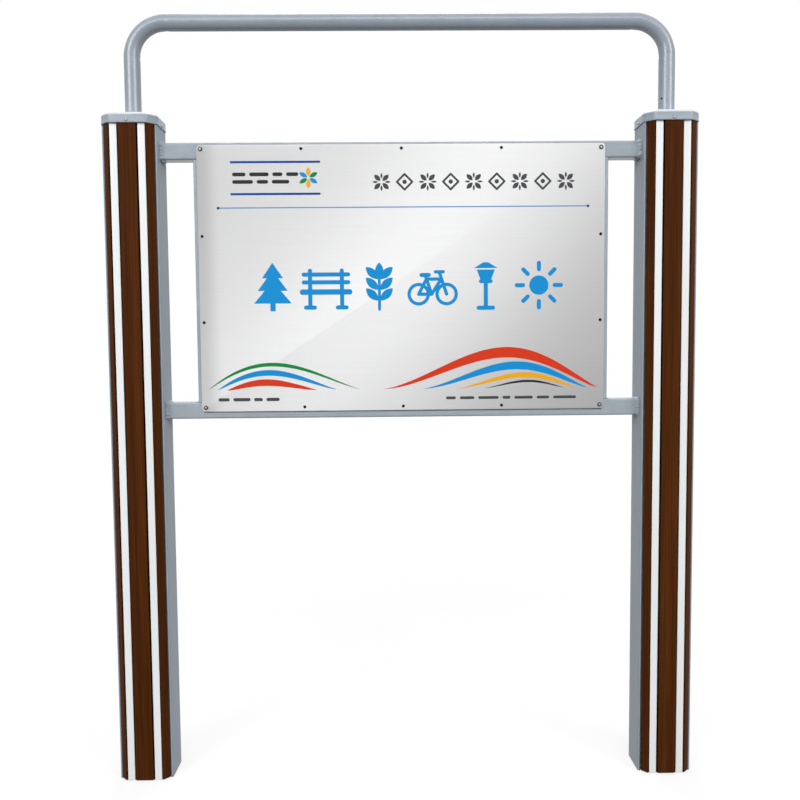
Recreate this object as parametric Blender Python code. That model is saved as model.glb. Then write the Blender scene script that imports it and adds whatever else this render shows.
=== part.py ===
"""Notice board: a riveted sheet in a welded frame between two planked posts, with a bent rail above.

Metres, +Z up. The board faces -Y. The origin is on the ground, midway between the posts.
Each post has a hollow steel column. Three planks and two light strips clad its front,
and the same five pieces clad its rear.
"""
import math

import bmesh
import bpy
from mathutils import Euler, Matrix, Vector

# Fits between pieces
SEAT_GAP = 0.0003            # faces that rest on each other
HOLE_CLEARANCE = 0.0003      # radial, round rivets, screws and the rail's legs

# Post: plan sizes
CENTRE_PLANK_WIDTH = 0.061
STRIP_WIDTH = 0.022
GROOVE = 0.00065             # beside each strip
ANGLED_PLANK_RUN = 0.0226    # how far back and how far out an angled plank reaches, at 45 degrees
LIP_WIDTH = 0.0046           # column's painted corner, seen from the front beside an angled plank
POST_DEPTH = 0.152
PLANK_THICKNESS = 0.010
PLANK_EDGE_RADIUS = 0.0012
STRIP_RECESS = 0.0015
STRIP_WALL = 0.0015
COLUMN_WALL = 0.003
LIP_GAP = 0.0005
LIP_RECESS = 0.001
LIP_RADIUS = 0.006

# Post: heights
POST_HEIGHT = 1.9922
PLANK_GROUND_GAP = 0.003

# Cap
CAP_WALL = 0.003
CAP_LIP = 0.020
CAP_CROWN = 0.020
CAP_EDGE_RADIUS = 0.002
CAP_CORNER_RADIUS = 0.009
CAP_INNER_CORNER_RADIUS = 0.002

# Cap screws
CAP_SCREW_RISE = 0.010       # axis above the skirt's lower edge
CAP_SCREW_HEAD_RADIUS = 0.0048
CAP_SCREW_HEAD_HEIGHT = 0.0028
CAP_SCREW_SHANK_RADIUS = 0.0021
CAP_SCREW_LENGTH = 0.022

# Foot plate
FOOT_PLATE_THICKNESS = 0.008
ANCHOR_HOLE_RADIUS = 0.007
ANCHOR_SPACING_X = 0.090
ANCHOR_SPACING_Y = 0.070

# Top rail
RAIL_DIAMETER = 0.048
RAIL_WALL = 0.003
RAIL_BEND_RADIUS = 0.100     # to the tube's centre line
RAIL_RISE = 0.2715           # from the top of the cap's crown to the run's centre line

# Frame of the board
BEAM_SIZE = 0.050
BEAM_WALL = 0.0025
BEAM_CORNER_RADIUS = 0.005
CAP_TO_BEAM = 0.044          # open height between the cap's skirt and the upper beam
SIDE_WINDOW = 0.098          # open width between a post and the upright beside it
UPRIGHT_OVERHANG = 0.011     # upright's edge beyond the board's edge

# Board
BOARD_WIDTH = 1.220
BOARD_HEIGHT = 0.795
BOARD_THICKNESS = 0.002
BOARD_CORNER_RADIUS = 0.010
BOARD_TOP_MARGIN = 0.008     # upper beam left bare above the board
BOARD_BOTTOM_MARGIN = 0.0215  # lower beam left bare below the board

# Rivets
RIVET_INSET = 0.012
RIVET_BAYS_ACROSS = 4
RIVET_BAYS_DOWN = 3
CORNER_RIVET_HEAD_RADIUS = 0.006
CORNER_RIVET_HEAD_HEIGHT = 0.003
CORNER_RIVET_SHANK_RADIUS = 0.0024
EDGE_RIVET_HEAD_RADIUS = 0.004
EDGE_RIVET_HEAD_HEIGHT = 0.0018
EDGE_RIVET_SHANK_RADIUS = 0.0016
RIVET_BULB_LENGTH = 0.005
RIVET_BULB_SHARE = 1.45      # of the shank's radius
RIVET_PIN_SHARE = 0.55       # of the shank's radius
RIVET_HOLLOW_FLOOR = 0.3     # of the head's height

# Welds
RAIL_WELD_LEG = 0.0045
BEAM_WELD_LEG = 0.0055
UPRIGHT_WELD_LEG = 0.008
WELD_BULGE = 0.62            # of the leg, at the bead's middle

# Mesh fineness
CORNER_STEPS = 3
CROWN_STEPS = 5
CAP_SIDE_SPANS = 6
RAIL_SIDES = 28
BEND_STEPS = 8
SMALL_SIDES = 14
SMOOTH_ANGLE = math.radians(32)

# Worked out from the sizes above
MITRE = math.tan(math.radians(22.5))   # lean of the joint between a front face and a 45 degree face
ROOT2 = math.sqrt(2.0)
PLANK_HALF = CENTRE_PLANK_WIDTH / 2
STRIP_NEAR = PLANK_HALF + GROOVE
STRIP_FAR = STRIP_NEAR + STRIP_WIDTH
FRONT_HALF = STRIP_FAR + GROOVE
POST_WIDTH = 2 * (FRONT_HALF + ANGLED_PLANK_RUN + LIP_WIDTH)
FRONT_Y = -POST_DEPTH / 2
ANGLED_SUM = FRONT_HALF - FRONT_Y      # x - y everywhere on the angled plank's outer face

CAP_OVERHANG = SEAT_GAP + CAP_WALL
CAP_BASE = POST_HEIGHT + SEAT_GAP - (CAP_LIP - CAP_WALL)
CAP_TOP = CAP_BASE + CAP_LIP + CAP_CROWN

BEAM_TOP = CAP_BASE - CAP_TO_BEAM
UPPER_BEAM_Z = BEAM_TOP - BEAM_SIZE / 2
BOARD_TOP = BEAM_TOP - BOARD_TOP_MARGIN
BOARD_BOTTOM = BOARD_TOP - BOARD_HEIGHT
LOWER_BEAM_Z = BOARD_BOTTOM - BOARD_BOTTOM_MARGIN + BEAM_SIZE / 2
FRAME_HALF = BOARD_WIDTH / 2 + UPRIGHT_OVERHANG
UPRIGHT_X = FRAME_HALF - BEAM_SIZE / 2
POST_X = FRAME_HALF + SIDE_WINDOW + POST_WIDTH / 2
BEAM_HALF = POST_X - POST_WIDTH / 2 - SEAT_GAP
FRAME_FRONT_Y = -BEAM_SIZE / 2
BOARD_FRONT_Y = FRAME_FRONT_Y - SEAT_GAP - BOARD_THICKNESS
RAIL_RADIUS = RAIL_DIAMETER / 2
RAIL_Z = CAP_TOP + RAIL_RISE


# Outlines

def rounded(corners, steps=CORNER_STEPS):
    """Closed outline through (x, y, radius) corners, each corner an arc that meets both its sides."""
    outline = []
    for index, (x, y, radius) in enumerate(corners):
        corner = Vector((x, y))
        if radius <= 0:
            outline.append(corner)
            continue
        before = (Vector(corners[index - 1][:2]) - corner).normalized()
        after = (Vector(corners[(index + 1) % len(corners)][:2]) - corner).normalized()
        half = before.angle(after) / 2
        centre = corner + (before + after).normalized() * radius / math.sin(half)
        start = corner + before * radius / math.tan(half) - centre
        end = corner + after * radius / math.tan(half) - centre
        turn = math.atan2(start.cross(end), start.dot(end))
        for step in range(steps + 1):
            outline.append(centre + Matrix.Rotation(turn * step / steps, 2) @ start)
    return outline


def four_fold(quarter):
    """Whole post outline from its front right quarter, which runs from the front to the side."""
    front_right = [(x, y) + tuple(rest) for x, y, *rest in quarter]
    rear_right = [(x, -y) + tuple(rest) for x, y, *rest in reversed(quarter)]
    rear_left = [(-x, -y) + tuple(rest) for x, y, *rest in quarter]
    front_left = [(-x, y) + tuple(rest) for x, y, *rest in reversed(quarter)]
    return front_right + rear_right + rear_left + front_left


def rounded_box(width, depth, radius):
    x = width / 2
    y = depth / 2
    return rounded([(x, -y, radius), (x, y, radius), (-x, y, radius), (-x, -y, radius)])


def circle(radius, sides):
    return [Vector((radius * math.cos(a), radius * math.sin(a)))
            for a in (2 * math.pi * i / sides for i in range(sides))]


def envelope(offset, radius):
    """Post's eight-sided outline: flat front, 45 degree faces and flat sides, moved out by an offset."""
    half_width = POST_WIDTH / 2 + offset
    front = FRONT_Y - offset
    angled = ANGLED_SUM + offset * ROOT2
    return rounded(four_fold([(angled + front, front, radius), (half_width, half_width - angled, radius)]))


def column_outline():
    """Column: flat fronts behind the planks, 45 degree seats, and a rounded lip at each corner."""
    depth = PLANK_THICKNESS + SEAT_GAP
    seat = ANGLED_SUM - depth * ROOT2
    lip_face = 2 * ANGLED_PLANK_RUN + FRONT_HALF + FRONT_Y + LIP_GAP * ROOT2
    lip_top = ANGLED_SUM - LIP_RECESS * ROOT2
    tip = Vector(((lip_top + lip_face) / 2, (lip_face - lip_top) / 2))
    centre_x = POST_WIDTH / 2 - LIP_RADIUS
    rise = math.sqrt(max(LIP_RADIUS ** 2 - (tip.x - centre_x) ** 2, 0.0))
    centre = Vector((centre_x, tip.y + rise))
    start = math.atan2(tip.y - centre.y, tip.x - centre.x)
    quarter = [(FRONT_HALF - depth * MITRE, FRONT_Y + depth), ((seat + lip_face) / 2, (lip_face - seat) / 2)]
    for step in range(CORNER_STEPS + 2):
        angle = start * (1 - step / (CORNER_STEPS + 1))
        quarter.append((centre.x + LIP_RADIUS * math.cos(angle), centre.y + LIP_RADIUS * math.sin(angle)))
    return [Vector(point) for point in four_fold(quarter)]


def cavity_outline(inset):
    """Inside of the column, an octagon one wall in from its faces and a further inset."""
    wall = COLUMN_WALL + inset
    half_width = POST_WIDTH / 2 - wall
    front = FRONT_Y + PLANK_THICKNESS + SEAT_GAP + wall
    angled = ANGLED_SUM - (PLANK_THICKNESS + SEAT_GAP + wall) * ROOT2
    quarter = [(angled + front, front), (half_width, half_width - angled)]
    return [Vector(point) for point in four_fold(quarter)]


# Meshes

def finish_mesh(name, bm):
    bmesh.ops.recalc_face_normals(bm, faces=bm.faces)
    mesh = bpy.data.meshes.new(name)
    bm.to_mesh(mesh)
    bm.free()
    mesh.shade_smooth()
    mesh.set_sharp_from_angle(angle=SMOOTH_ANGLE)
    return mesh


def prism(name, outline, low, high):
    """Outline in plan, extruded from one height to another."""
    bm = bmesh.new()
    base = bm.faces.new([bm.verts.new((point[0], point[1], low)) for point in outline])
    made = bmesh.ops.extrude_face_region(bm, geom=[base])["geom"]
    raised = [item for item in made if isinstance(item, bmesh.types.BMVert)]
    bmesh.ops.translate(bm, verts=raised, vec=(0, 0, high - low))
    return finish_mesh(name, bm)


def loft(name, rings, filled_ends=False):
    """Equal loops of points, each joined to the next; the ends are filled, or else joined to each other."""
    bm = bmesh.new()
    loops = [[bm.verts.new(point) for point in ring] for ring in rings]
    pairs = list(zip(loops, loops[1:]))
    if filled_ends:
        bm.faces.new(loops[0])
        bm.faces.new(loops[-1])
    else:
        pairs.append((loops[-1], loops[0]))
    for loop, following in pairs:
        for i in range(len(loop)):
            j = (i + 1) % len(loop)
            bm.faces.new((loop[i], loop[j], following[j], following[i]))
    return finish_mesh(name, bm)


def at_height(outline, z):
    return [(point[0], point[1], z) for point in outline]


def turned(name, profile, sides):
    """Profile of (radius, height) points, from axis to axis, spun about Z."""
    bm = bmesh.new()
    verts = [bm.verts.new((radius, 0, height)) for radius, height in profile]
    edges = [bm.edges.new(pair) for pair in zip(verts, verts[1:])]
    bmesh.ops.spin(bm, geom=verts + edges, axis=(0, 0, 1), cent=(0, 0, 0), steps=sides, angle=2 * math.pi)
    bmesh.ops.remove_doubles(bm, verts=bm.verts, dist=0.00001)
    return finish_mesh(name, bm)


def joined(name, placed_meshes):
    """One mesh of several, each moved by its own matrix."""
    bm = bmesh.new()
    for mesh, place in placed_meshes:
        start = len(bm.verts)
        bm.from_mesh(mesh)
        bm.verts.ensure_lookup_table()
        bmesh.ops.transform(bm, matrix=place, verts=bm.verts[start:])
    return finish_mesh(name, bm)


def facing(x, y):
    """Rotation that turns +Z to one of the four level directions."""
    return (-y * math.pi / 2, x * math.pi / 2, 0)


def placed(location, x, y):
    return Matrix.Translation(location) @ Euler(facing(x, y)).to_matrix().to_4x4()


def weld_bead(leg):
    """Bead beside a tube, as (distance from the joint, height off the tube), from the joint outwards."""
    return [(0, leg), (WELD_BULGE * leg, WELD_BULGE * leg), (leg, 0)]


# Materials

def material(name, color, roughness, metallic):
    made = bpy.data.materials.new(name)
    made.use_nodes = True
    shader = made.node_tree.nodes["Principled BSDF"]
    shader.inputs["Base Color"].default_value = (*color, 1.0)
    shader.inputs["Roughness"].default_value = roughness
    shader.inputs["Metallic"].default_value = metallic
    made.diffuse_color = (*color, 1.0)
    return made


def make_materials():
    return {
        "paint": material("grey_paint", (0.36, 0.41, 0.46), 0.42, 0.0),
        "plank": material("wood_plastic", (0.077, 0.024, 0.008), 0.62, 0.0),
        "strip": material("light_strip", (0.84, 0.87, 0.90), 0.40, 0.0),
        "board": material("silver_sheet", (0.78, 0.78, 0.79), 0.32, 0.35),
        "rivet": material("rivet_steel", (0.50, 0.50, 0.52), 0.30, 1.0),
        "dark_rivet": material("dark_rivet", (0.02, 0.02, 0.022), 0.45, 0.0),
        "screw": material("plated_screw", (0.62, 0.63, 0.65), 0.28, 1.0),
        "foot": material("galvanised_steel", (0.45, 0.47, 0.49), 0.50, 1.0),
    }


# Objects

def add(name, mesh, skin, parent=None, location=(0, 0, 0), rotation=(0, 0, 0)):
    made = bpy.data.objects.new(name, mesh)
    bpy.context.scene.collection.objects.link(made)
    made.parent = parent
    made.location = location
    made.rotation_euler = rotation
    if skin and not mesh.materials:
        mesh.materials.append(skin)
    return made


def add_cutter(name, mesh, parent=None):
    cutter = add(name, mesh, None, parent)
    cutter.hide_render = True
    cutter.display_type = "WIRE"
    return cutter


def cut(target, cutter):
    modifier = target.modifiers.new("cut", "BOOLEAN")
    modifier.operation = "DIFFERENCE"
    modifier.object = cutter


def rod(name, radius, low, high):
    return prism(name, circle(radius, SMALL_SIDES), low, high)


# Post pieces

def centre_plank_mesh():
    inner = FRONT_Y + PLANK_THICKNESS
    outline = rounded([
        (-PLANK_HALF, FRONT_Y, PLANK_EDGE_RADIUS), (PLANK_HALF, FRONT_Y, PLANK_EDGE_RADIUS),
        (PLANK_HALF, inner, 0), (-PLANK_HALF, inner, 0),
    ])
    return prism("centre_plank", outline, PLANK_GROUND_GAP, POST_HEIGHT)


def angled_plank_mesh(side):
    """Plank on a 45 degree face, mitred where it meets the front, for the +X (1) or -X (-1) side."""
    near = (FRONT_HALF, FRONT_Y, PLANK_EDGE_RADIUS)
    far = Vector((FRONT_HALF + ANGLED_PLANK_RUN, FRONT_Y + ANGLED_PLANK_RUN))
    back = far + Vector((-1, 1)) * PLANK_THICKNESS / ROOT2
    corners = [near, (far.x, far.y, PLANK_EDGE_RADIUS), (back.x, back.y, 0),
               (FRONT_HALF - PLANK_THICKNESS * MITRE, FRONT_Y + PLANK_THICKNESS, 0)]
    outline = [(side * point.x, point.y) for point in rounded(corners)]
    return prism("angled_plank", outline, PLANK_GROUND_GAP, POST_HEIGHT)


def strip_mesh(side):
    """Channel that covers the joint between two planks; its far flank leans with the mitre."""
    def flank(depth, wall):
        return STRIP_FAR - depth * MITRE - wall

    face = FRONT_Y + STRIP_RECESS
    foot = FRONT_Y + PLANK_THICKNESS
    web = face + STRIP_WALL
    corners = [
        (STRIP_NEAR, face), (flank(STRIP_RECESS, 0), face), (flank(PLANK_THICKNESS, 0), foot),
        (flank(PLANK_THICKNESS, STRIP_WALL), foot), (flank(STRIP_RECESS + STRIP_WALL, STRIP_WALL), web),
        (STRIP_NEAR + STRIP_WALL, web), (STRIP_NEAR + STRIP_WALL, foot), (STRIP_NEAR, foot),
    ]
    outline = [(side * x, y) for x, y in corners]
    return prism("strip", outline, PLANK_GROUND_GAP, POST_HEIGHT)


def cap_mesh():
    """Skirted cap: its crown blends from the post's outline to the round hole for the rail."""
    hole = RAIL_RADIUS + HOLE_CLEARANCE

    def outline_at(offset, radius):
        """Post's outline with extra points along its straight sides, so that the hole comes out round."""
        plain = envelope(offset, radius)
        points = []
        for index, point in enumerate(plain):
            following = plain[(index + 1) % len(plain)]
            spans = CAP_SIDE_SPANS if index % (CORNER_STEPS + 1) == CORNER_STEPS else 1
            points += [point.lerp(following, span / spans) for span in range(spans)]
        return points

    def blend(outline, t):
        points = []
        for point in outline:
            angle = math.atan2(point[1], point[0])
            rim = Vector((hole * math.cos(angle), hole * math.sin(angle)))
            points.append(Vector(point[:2]).lerp(rim, t))
        return points

    def crown(t):
        return CAP_CROWN * (1 - (1 - t) ** 2)

    edge = CAP_EDGE_RADIUS
    rings = [at_height(outline_at(CAP_OVERHANG, CAP_CORNER_RADIUS), 0)]
    for angle in (0, math.radians(45), math.radians(90)):
        inset = edge * (1 - math.cos(angle))
        outline = outline_at(CAP_OVERHANG - inset, CAP_CORNER_RADIUS)
        rings.append(at_height(outline, CAP_LIP - edge * (1 - math.sin(angle))))
    inner = outline_at(SEAT_GAP, CAP_INNER_CORNER_RADIUS)
    steps = [step / CROWN_STEPS for step in range(1, CROWN_STEPS + 1)]
    rings += [at_height(blend(outline, t), CAP_LIP + crown(t)) for t in steps]
    rings += [at_height(blend(inner, t), CAP_LIP - CAP_WALL + crown(t)) for t in reversed(steps)]
    rings += [at_height(inner, CAP_LIP - CAP_WALL), at_height(inner, 0)]
    return loft("cap", rings)


def pan_head(radius, height, seat):
    """Half profile of a domed head, from its top on the axis to its seat."""
    shape = [(0, 1.0), (0.45, 0.94), (0.78, 0.70), (0.97, 0.30), (1.0, 0.0)]
    return [(radius * across, seat + height * up) for across, up in shape]


def cap_screw_mesh():
    profile = pan_head(CAP_SCREW_HEAD_RADIUS, CAP_SCREW_HEAD_HEIGHT, SEAT_GAP)
    profile += [
        (CAP_SCREW_SHANK_RADIUS, SEAT_GAP),
        (CAP_SCREW_SHANK_RADIUS, CAP_SCREW_SHANK_RADIUS - CAP_SCREW_LENGTH),
        (0, -CAP_SCREW_LENGTH),
    ]
    return turned("cap_screw", profile, SMALL_SIDES)


def cap_screw_places(post_side):
    """A screw in the middle of each side of the skirt: its name, place and outward direction."""
    across = POST_WIDTH / 2 + CAP_OVERHANG
    along = POST_DEPTH / 2 + CAP_OVERHANG
    height = CAP_BASE + CAP_SCREW_RISE
    directions = {"front": (0, -1), "rear": (0, 1), "outer": (post_side, 0), "inner": (-post_side, 0)}
    return {name: ((x * across, y * along, height), x, y) for name, (x, y) in directions.items()}


def cap_screw_holes():
    drill = rod("screw_hole", CAP_SCREW_SHANK_RADIUS + HOLE_CLEARANCE, -CAP_SCREW_LENGTH, CAP_LIP)
    return joined("cap_screw_holes", [(drill, placed(*place)) for place in cap_screw_places(1).values()])


def anchor_holes():
    drill = rod("anchor_hole", ANCHOR_HOLE_RADIUS, -FOOT_PLATE_THICKNESS, 2 * FOOT_PLATE_THICKNESS)
    places = [Matrix.Translation((x * ANCHOR_SPACING_X / 2, y * ANCHOR_SPACING_Y / 2, 0))
              for x in (-1, 1) for y in (-1, 1)]
    return joined("anchor_holes", [(drill, place) for place in places])


def post_meshes():
    sides = (-1, 1)
    return {
        "column": prism("column", column_outline(), 0, POST_HEIGHT),
        "cavity": prism("cavity", cavity_outline(0), -CAP_LIP, POST_HEIGHT + CAP_LIP),
        "centre_plank": centre_plank_mesh(),
        "angled_plank": {side: angled_plank_mesh(side) for side in sides},
        "strip": {side: strip_mesh(side) for side in sides},
        "cap": cap_mesh(),
        "cap_screw": cap_screw_mesh(),
        "cap_screw_holes": cap_screw_holes(),
        "foot_plate": prism("foot_plate", cavity_outline(SEAT_GAP), 0, FOOT_PLATE_THICKNESS),
        "anchor_holes": anchor_holes(),
    }


def clad_face(prefix, turn, hands, meshes, skins, post, screw_cutter):
    """Three planks and two strips on one face of a post; hands give its outer and its inner side."""
    rotation = (0, 0, turn)
    plank = add(prefix + "_centre_plank", meshes["centre_plank"], skins["plank"], post, rotation=rotation)
    cut(plank, screw_cutter)
    for role, hand in hands.items():
        add(f"{prefix}_{role}_plank", meshes["angled_plank"][hand], skins["plank"], post, rotation=rotation)
        add(f"{prefix}_{role}_strip", meshes["strip"][hand], skins["strip"], post, rotation=rotation)


def build_post(post_name, post_side, meshes, skins):
    post = bpy.data.objects.new(post_name + "_post", None)
    bpy.context.scene.collection.objects.link(post)
    post.location = (post_side * POST_X, 0, 0)
    screw_cutter = add_cutter(post_name + "_screw_cutter", meshes["cap_screw_holes"], post)
    cavity_cutter = add_cutter(post_name + "_cavity_cutter", meshes["cavity"], post)
    anchor_cutter = add_cutter(post_name + "_anchor_cutter", meshes["anchor_holes"], post)

    column = add(post_name + "_column", meshes["column"], skins["paint"], post)
    cut(column, cavity_cutter)
    cut(column, screw_cutter)
    foot = add(post_name + "_foot_plate", meshes["foot_plate"], skins["foot"], post)
    cut(foot, anchor_cutter)
    front_hands = {"outer": post_side, "inner": -post_side}
    rear_hands = {role: -hand for role, hand in front_hands.items()}
    clad_face(post_name + "_front", 0, front_hands, meshes, skins, post, screw_cutter)
    clad_face(post_name + "_rear", math.pi, rear_hands, meshes, skins, post, screw_cutter)

    cap = add(post_name + "_cap", meshes["cap"], skins["paint"], post, (0, 0, CAP_BASE))
    cut(cap, screw_cutter)
    for role, (location, x, y) in cap_screw_places(post_side).items():
        name = f"{post_name}_cap_screw_{role}"
        add(name, meshes["cap_screw"], skins["screw"], post, location, facing(x, y))


# Rail

def rail_stations():
    """Points (x, z) on the rail's centre line, each with its heading from straight up, in radians."""
    bend_x = POST_X - RAIL_BEND_RADIUS
    bend_z = RAIL_Z - RAIL_BEND_RADIUS
    stations = []
    for side in (-1, 1):
        for step in range(BEND_STEPS + 1):
            heading = math.pi / 2 * (step / BEND_STEPS + (side + 1) / 2)
            x = side * bend_x - RAIL_BEND_RADIUS * math.cos(heading)
            z = bend_z + RAIL_BEND_RADIUS * math.sin(heading)
            stations.append((x, z, heading))
    return stations


def rail_mesh():
    """Bent tube through both caps, with a weld bead round each leg on top of the crown."""
    def ring(x, z, heading, radius):
        out = Vector((-math.cos(heading), 0, math.sin(heading)))
        across = Vector((0, 1, 0))
        return [Vector((x, 0, z)) + out * point.x + across * point.y for point in circle(radius, RAIL_SIDES)]

    foot = CAP_TOP - CAP_WALL
    seat = CAP_TOP + SEAT_GAP
    leg = [(foot, RAIL_RADIUS), (seat, RAIL_RADIUS)]
    leg += [(seat + height, RAIL_RADIUS + out) for height, out in weld_bead(RAIL_WELD_LEG)]
    bends = rail_stations()
    rings = [ring(-POST_X, z, 0.0, radius) for z, radius in leg]
    rings += [ring(*station, RAIL_RADIUS) for station in bends]
    rings += [ring(POST_X, z, math.pi, radius) for z, radius in reversed(leg)]
    bore = [(POST_X, foot, math.pi)] + bends[::-1] + [(-POST_X, foot, 0.0)]
    rings += [ring(*station, RAIL_RADIUS - RAIL_WALL) for station in bore]
    return loft("top_rail", rings)


def build_rail(skins):
    add("top_rail", rail_mesh(), skins["paint"])


# Frame of the board

def tube_rings(stations, wall):
    """Rings of a square tube: (height, extra width, extra depth) outside, and a plain bore inside."""
    rings = []
    for height, wider, deeper in stations:
        radius = BEAM_CORNER_RADIUS + min(wider, deeper)
        rings.append(at_height(rounded_box(BEAM_SIZE + 2 * wider, BEAM_SIZE + 2 * deeper, radius), height))
    bore = rounded_box(BEAM_SIZE - 2 * wall, BEAM_SIZE - 2 * wall, BEAM_CORNER_RADIUS - wall)
    return rings + [at_height(bore, stations[-1][0]), at_height(bore, stations[0][0])]


def beam_mesh():
    """Square tube along Z with a weld bead round each end, centred on the origin."""
    bead = [(height, out, out) for height, out in weld_bead(BEAM_WELD_LEG)]
    low = [(-BEAM_HALF + height, wider, deeper) for height, wider, deeper in bead]
    high = [(BEAM_HALF - height, wider, deeper) for height, wider, deeper in reversed(bead)]
    return loft("beam", tube_rings(low + high, BEAM_WALL))


def upright_mesh():
    """Square tube between the beams, with a hollow fillet weld on both sides at each end."""
    half = (UPPER_BEAM_Z - LOWER_BEAM_Z - BEAM_SIZE) / 2 - SEAT_GAP
    leg = UPRIGHT_WELD_LEG
    angles = [math.pi / 2 * step / CORNER_STEPS for step in range(CORNER_STEPS + 1)]
    fillet = [(leg * (1 - math.cos(angle)), leg * (1 - math.sin(angle))) for angle in angles]
    low = [(-half + height, wider, 0) for height, wider in fillet]
    high = [(half - height, wider, 0) for height, wider in reversed(fillet)]
    return loft("upright", tube_rings(low + high, BEAM_WALL))


def build_frame(skins, rivet_cutter):
    beam = beam_mesh()
    for level, height in (("upper", UPPER_BEAM_Z), ("lower", LOWER_BEAM_Z)):
        made = add(level + "_beam", beam, skins["paint"], None, (0, 0, height), (0, math.pi / 2, 0))
        cut(made, rivet_cutter)
    upright = upright_mesh()
    middle = (UPPER_BEAM_Z + LOWER_BEAM_Z) / 2
    for name, side in (("left", -1), ("right", 1)):
        made = add(name + "_upright", upright, skins["paint"], None, (side * UPRIGHT_X, 0, middle))
        cut(made, rivet_cutter)


# Board and rivets

def board_mesh():
    """Flat sheet with round corners; its middle is a face of its own, clear of the riveted margin."""
    def outline(inset):
        half = BOARD_WIDTH / 2 - inset
        low = BOARD_BOTTOM + inset
        high = BOARD_TOP - inset
        corners = [(half, low), (half, high), (-half, high), (-half, low)]
        return rounded([(x, y, BOARD_CORNER_RADIUS) for x, y in corners])

    margin = 2 * RIVET_INSET
    rings = [at_height(outline(margin), 0), at_height(outline(0), 0),
             at_height(outline(0), BOARD_THICKNESS), at_height(outline(margin), BOARD_THICKNESS)]
    return loft("board", rings, filled_ends=True)


def rivet_grid():
    """Named corner places and edge places (x, z), evenly spaced round the board at one inset."""
    half = BOARD_WIDTH / 2 - RIVET_INSET
    low = BOARD_BOTTOM + RIVET_INSET
    high = BOARD_TOP - RIVET_INSET
    corners = {}
    edges = {}
    for side_name, x in (("left", -half), ("right", half)):
        for level_name, z in (("lower", low), ("upper", high)):
            corners[f"{level_name}_{side_name}_corner_rivet"] = (x, z)
        for step in range(1, RIVET_BAYS_DOWN):
            edges[f"{side_name}_edge_rivet_{step}"] = (x, low + (high - low) * step / RIVET_BAYS_DOWN)
    for level_name, z in (("lower", low), ("upper", high)):
        for step in range(1, RIVET_BAYS_ACROSS):
            edges[f"{level_name}_edge_rivet_{step}"] = (-half + 2 * half * step / RIVET_BAYS_ACROSS, z)
    return corners, edges


def rivet_mesh(name, head_radius, head_height, shank_radius):
    """Blind rivet: domed head with the broken pin's hollow, shank, and a bulb inside the tube."""
    hollow = RIVET_PIN_SHARE * shank_radius
    top = SEAT_GAP + head_height
    floor = SEAT_GAP + RIVET_HOLLOW_FLOOR * head_height
    grip = BOARD_THICKNESS + BEAM_WALL + 2 * SEAT_GAP
    bulb = RIVET_BULB_SHARE * shank_radius
    profile = [(0, floor), (hollow, floor), (hollow, top)]
    profile += pan_head(head_radius, head_height, SEAT_GAP)[1:]
    profile += [
        (shank_radius, SEAT_GAP), (shank_radius, -grip), (bulb, -grip),
        (bulb, -grip - RIVET_BULB_LENGTH / 2), (hollow, -grip - RIVET_BULB_LENGTH),
        (0, -grip - RIVET_BULB_LENGTH),
    ]
    return turned(name, profile, SMALL_SIDES)


def rivet_holes(corners, edges):
    """Drills through the board and the tube's front wall, as one cutter."""
    depth = BOARD_THICKNESS + BEAM_WALL + RIVET_BULB_LENGTH
    drills = []
    for places, shank_radius in ((corners, CORNER_RIVET_SHANK_RADIUS), (edges, EDGE_RIVET_SHANK_RADIUS)):
        drill = rod("rivet_hole", shank_radius + HOLE_CLEARANCE, -depth, depth)
        drills += [(drill, placed((x, BOARD_FRONT_Y, z), 0, -1)) for x, z in places.values()]
    return joined("rivet_holes", drills)


def build_board(skins):
    corners, edges = rivet_grid()
    cutter = add_cutter("rivet_cutter", rivet_holes(corners, edges))
    back = (0, FRAME_FRONT_Y - SEAT_GAP, 0)
    board = add("board_panel", board_mesh(), skins["board"], None, back, facing(0, -1))
    cut(board, cutter)
    corner_rivet = rivet_mesh("corner_rivet", CORNER_RIVET_HEAD_RADIUS, CORNER_RIVET_HEAD_HEIGHT,
                              CORNER_RIVET_SHANK_RADIUS)
    edge_rivet = rivet_mesh("edge_rivet", EDGE_RIVET_HEAD_RADIUS, EDGE_RIVET_HEAD_HEIGHT,
                            EDGE_RIVET_SHANK_RADIUS)
    for places, rivet, skin in ((corners, corner_rivet, "rivet"), (edges, edge_rivet, "dark_rivet")):
        for name, (x, z) in places.items():
            add(name, rivet, skins[skin], None, (x, BOARD_FRONT_Y, z), facing(0, -1))
    return cutter


def main():
    for old in list(bpy.data.objects):
        bpy.data.objects.remove(old, do_unlink=True)
    skins = make_materials()
    rivet_cutter = build_board(skins)
    build_frame(skins, rivet_cutter)
    build_rail(skins)
    meshes = post_meshes()
    for post_name, post_side in (("left", -1), ("right", 1)):
        build_post(post_name, post_side, meshes, skins)


main()
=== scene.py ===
import math

import bpy
import numpy as np
from mathutils import Matrix, Vector


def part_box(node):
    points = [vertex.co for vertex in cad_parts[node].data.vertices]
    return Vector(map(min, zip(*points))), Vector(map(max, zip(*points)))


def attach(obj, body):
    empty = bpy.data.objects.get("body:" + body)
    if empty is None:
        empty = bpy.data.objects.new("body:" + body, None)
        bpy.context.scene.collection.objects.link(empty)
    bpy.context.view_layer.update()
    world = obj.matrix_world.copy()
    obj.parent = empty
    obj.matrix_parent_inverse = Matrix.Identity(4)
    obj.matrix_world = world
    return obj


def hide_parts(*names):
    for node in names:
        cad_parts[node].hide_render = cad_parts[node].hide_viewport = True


# Notice board between two planked posts: looks only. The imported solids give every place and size.

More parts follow.
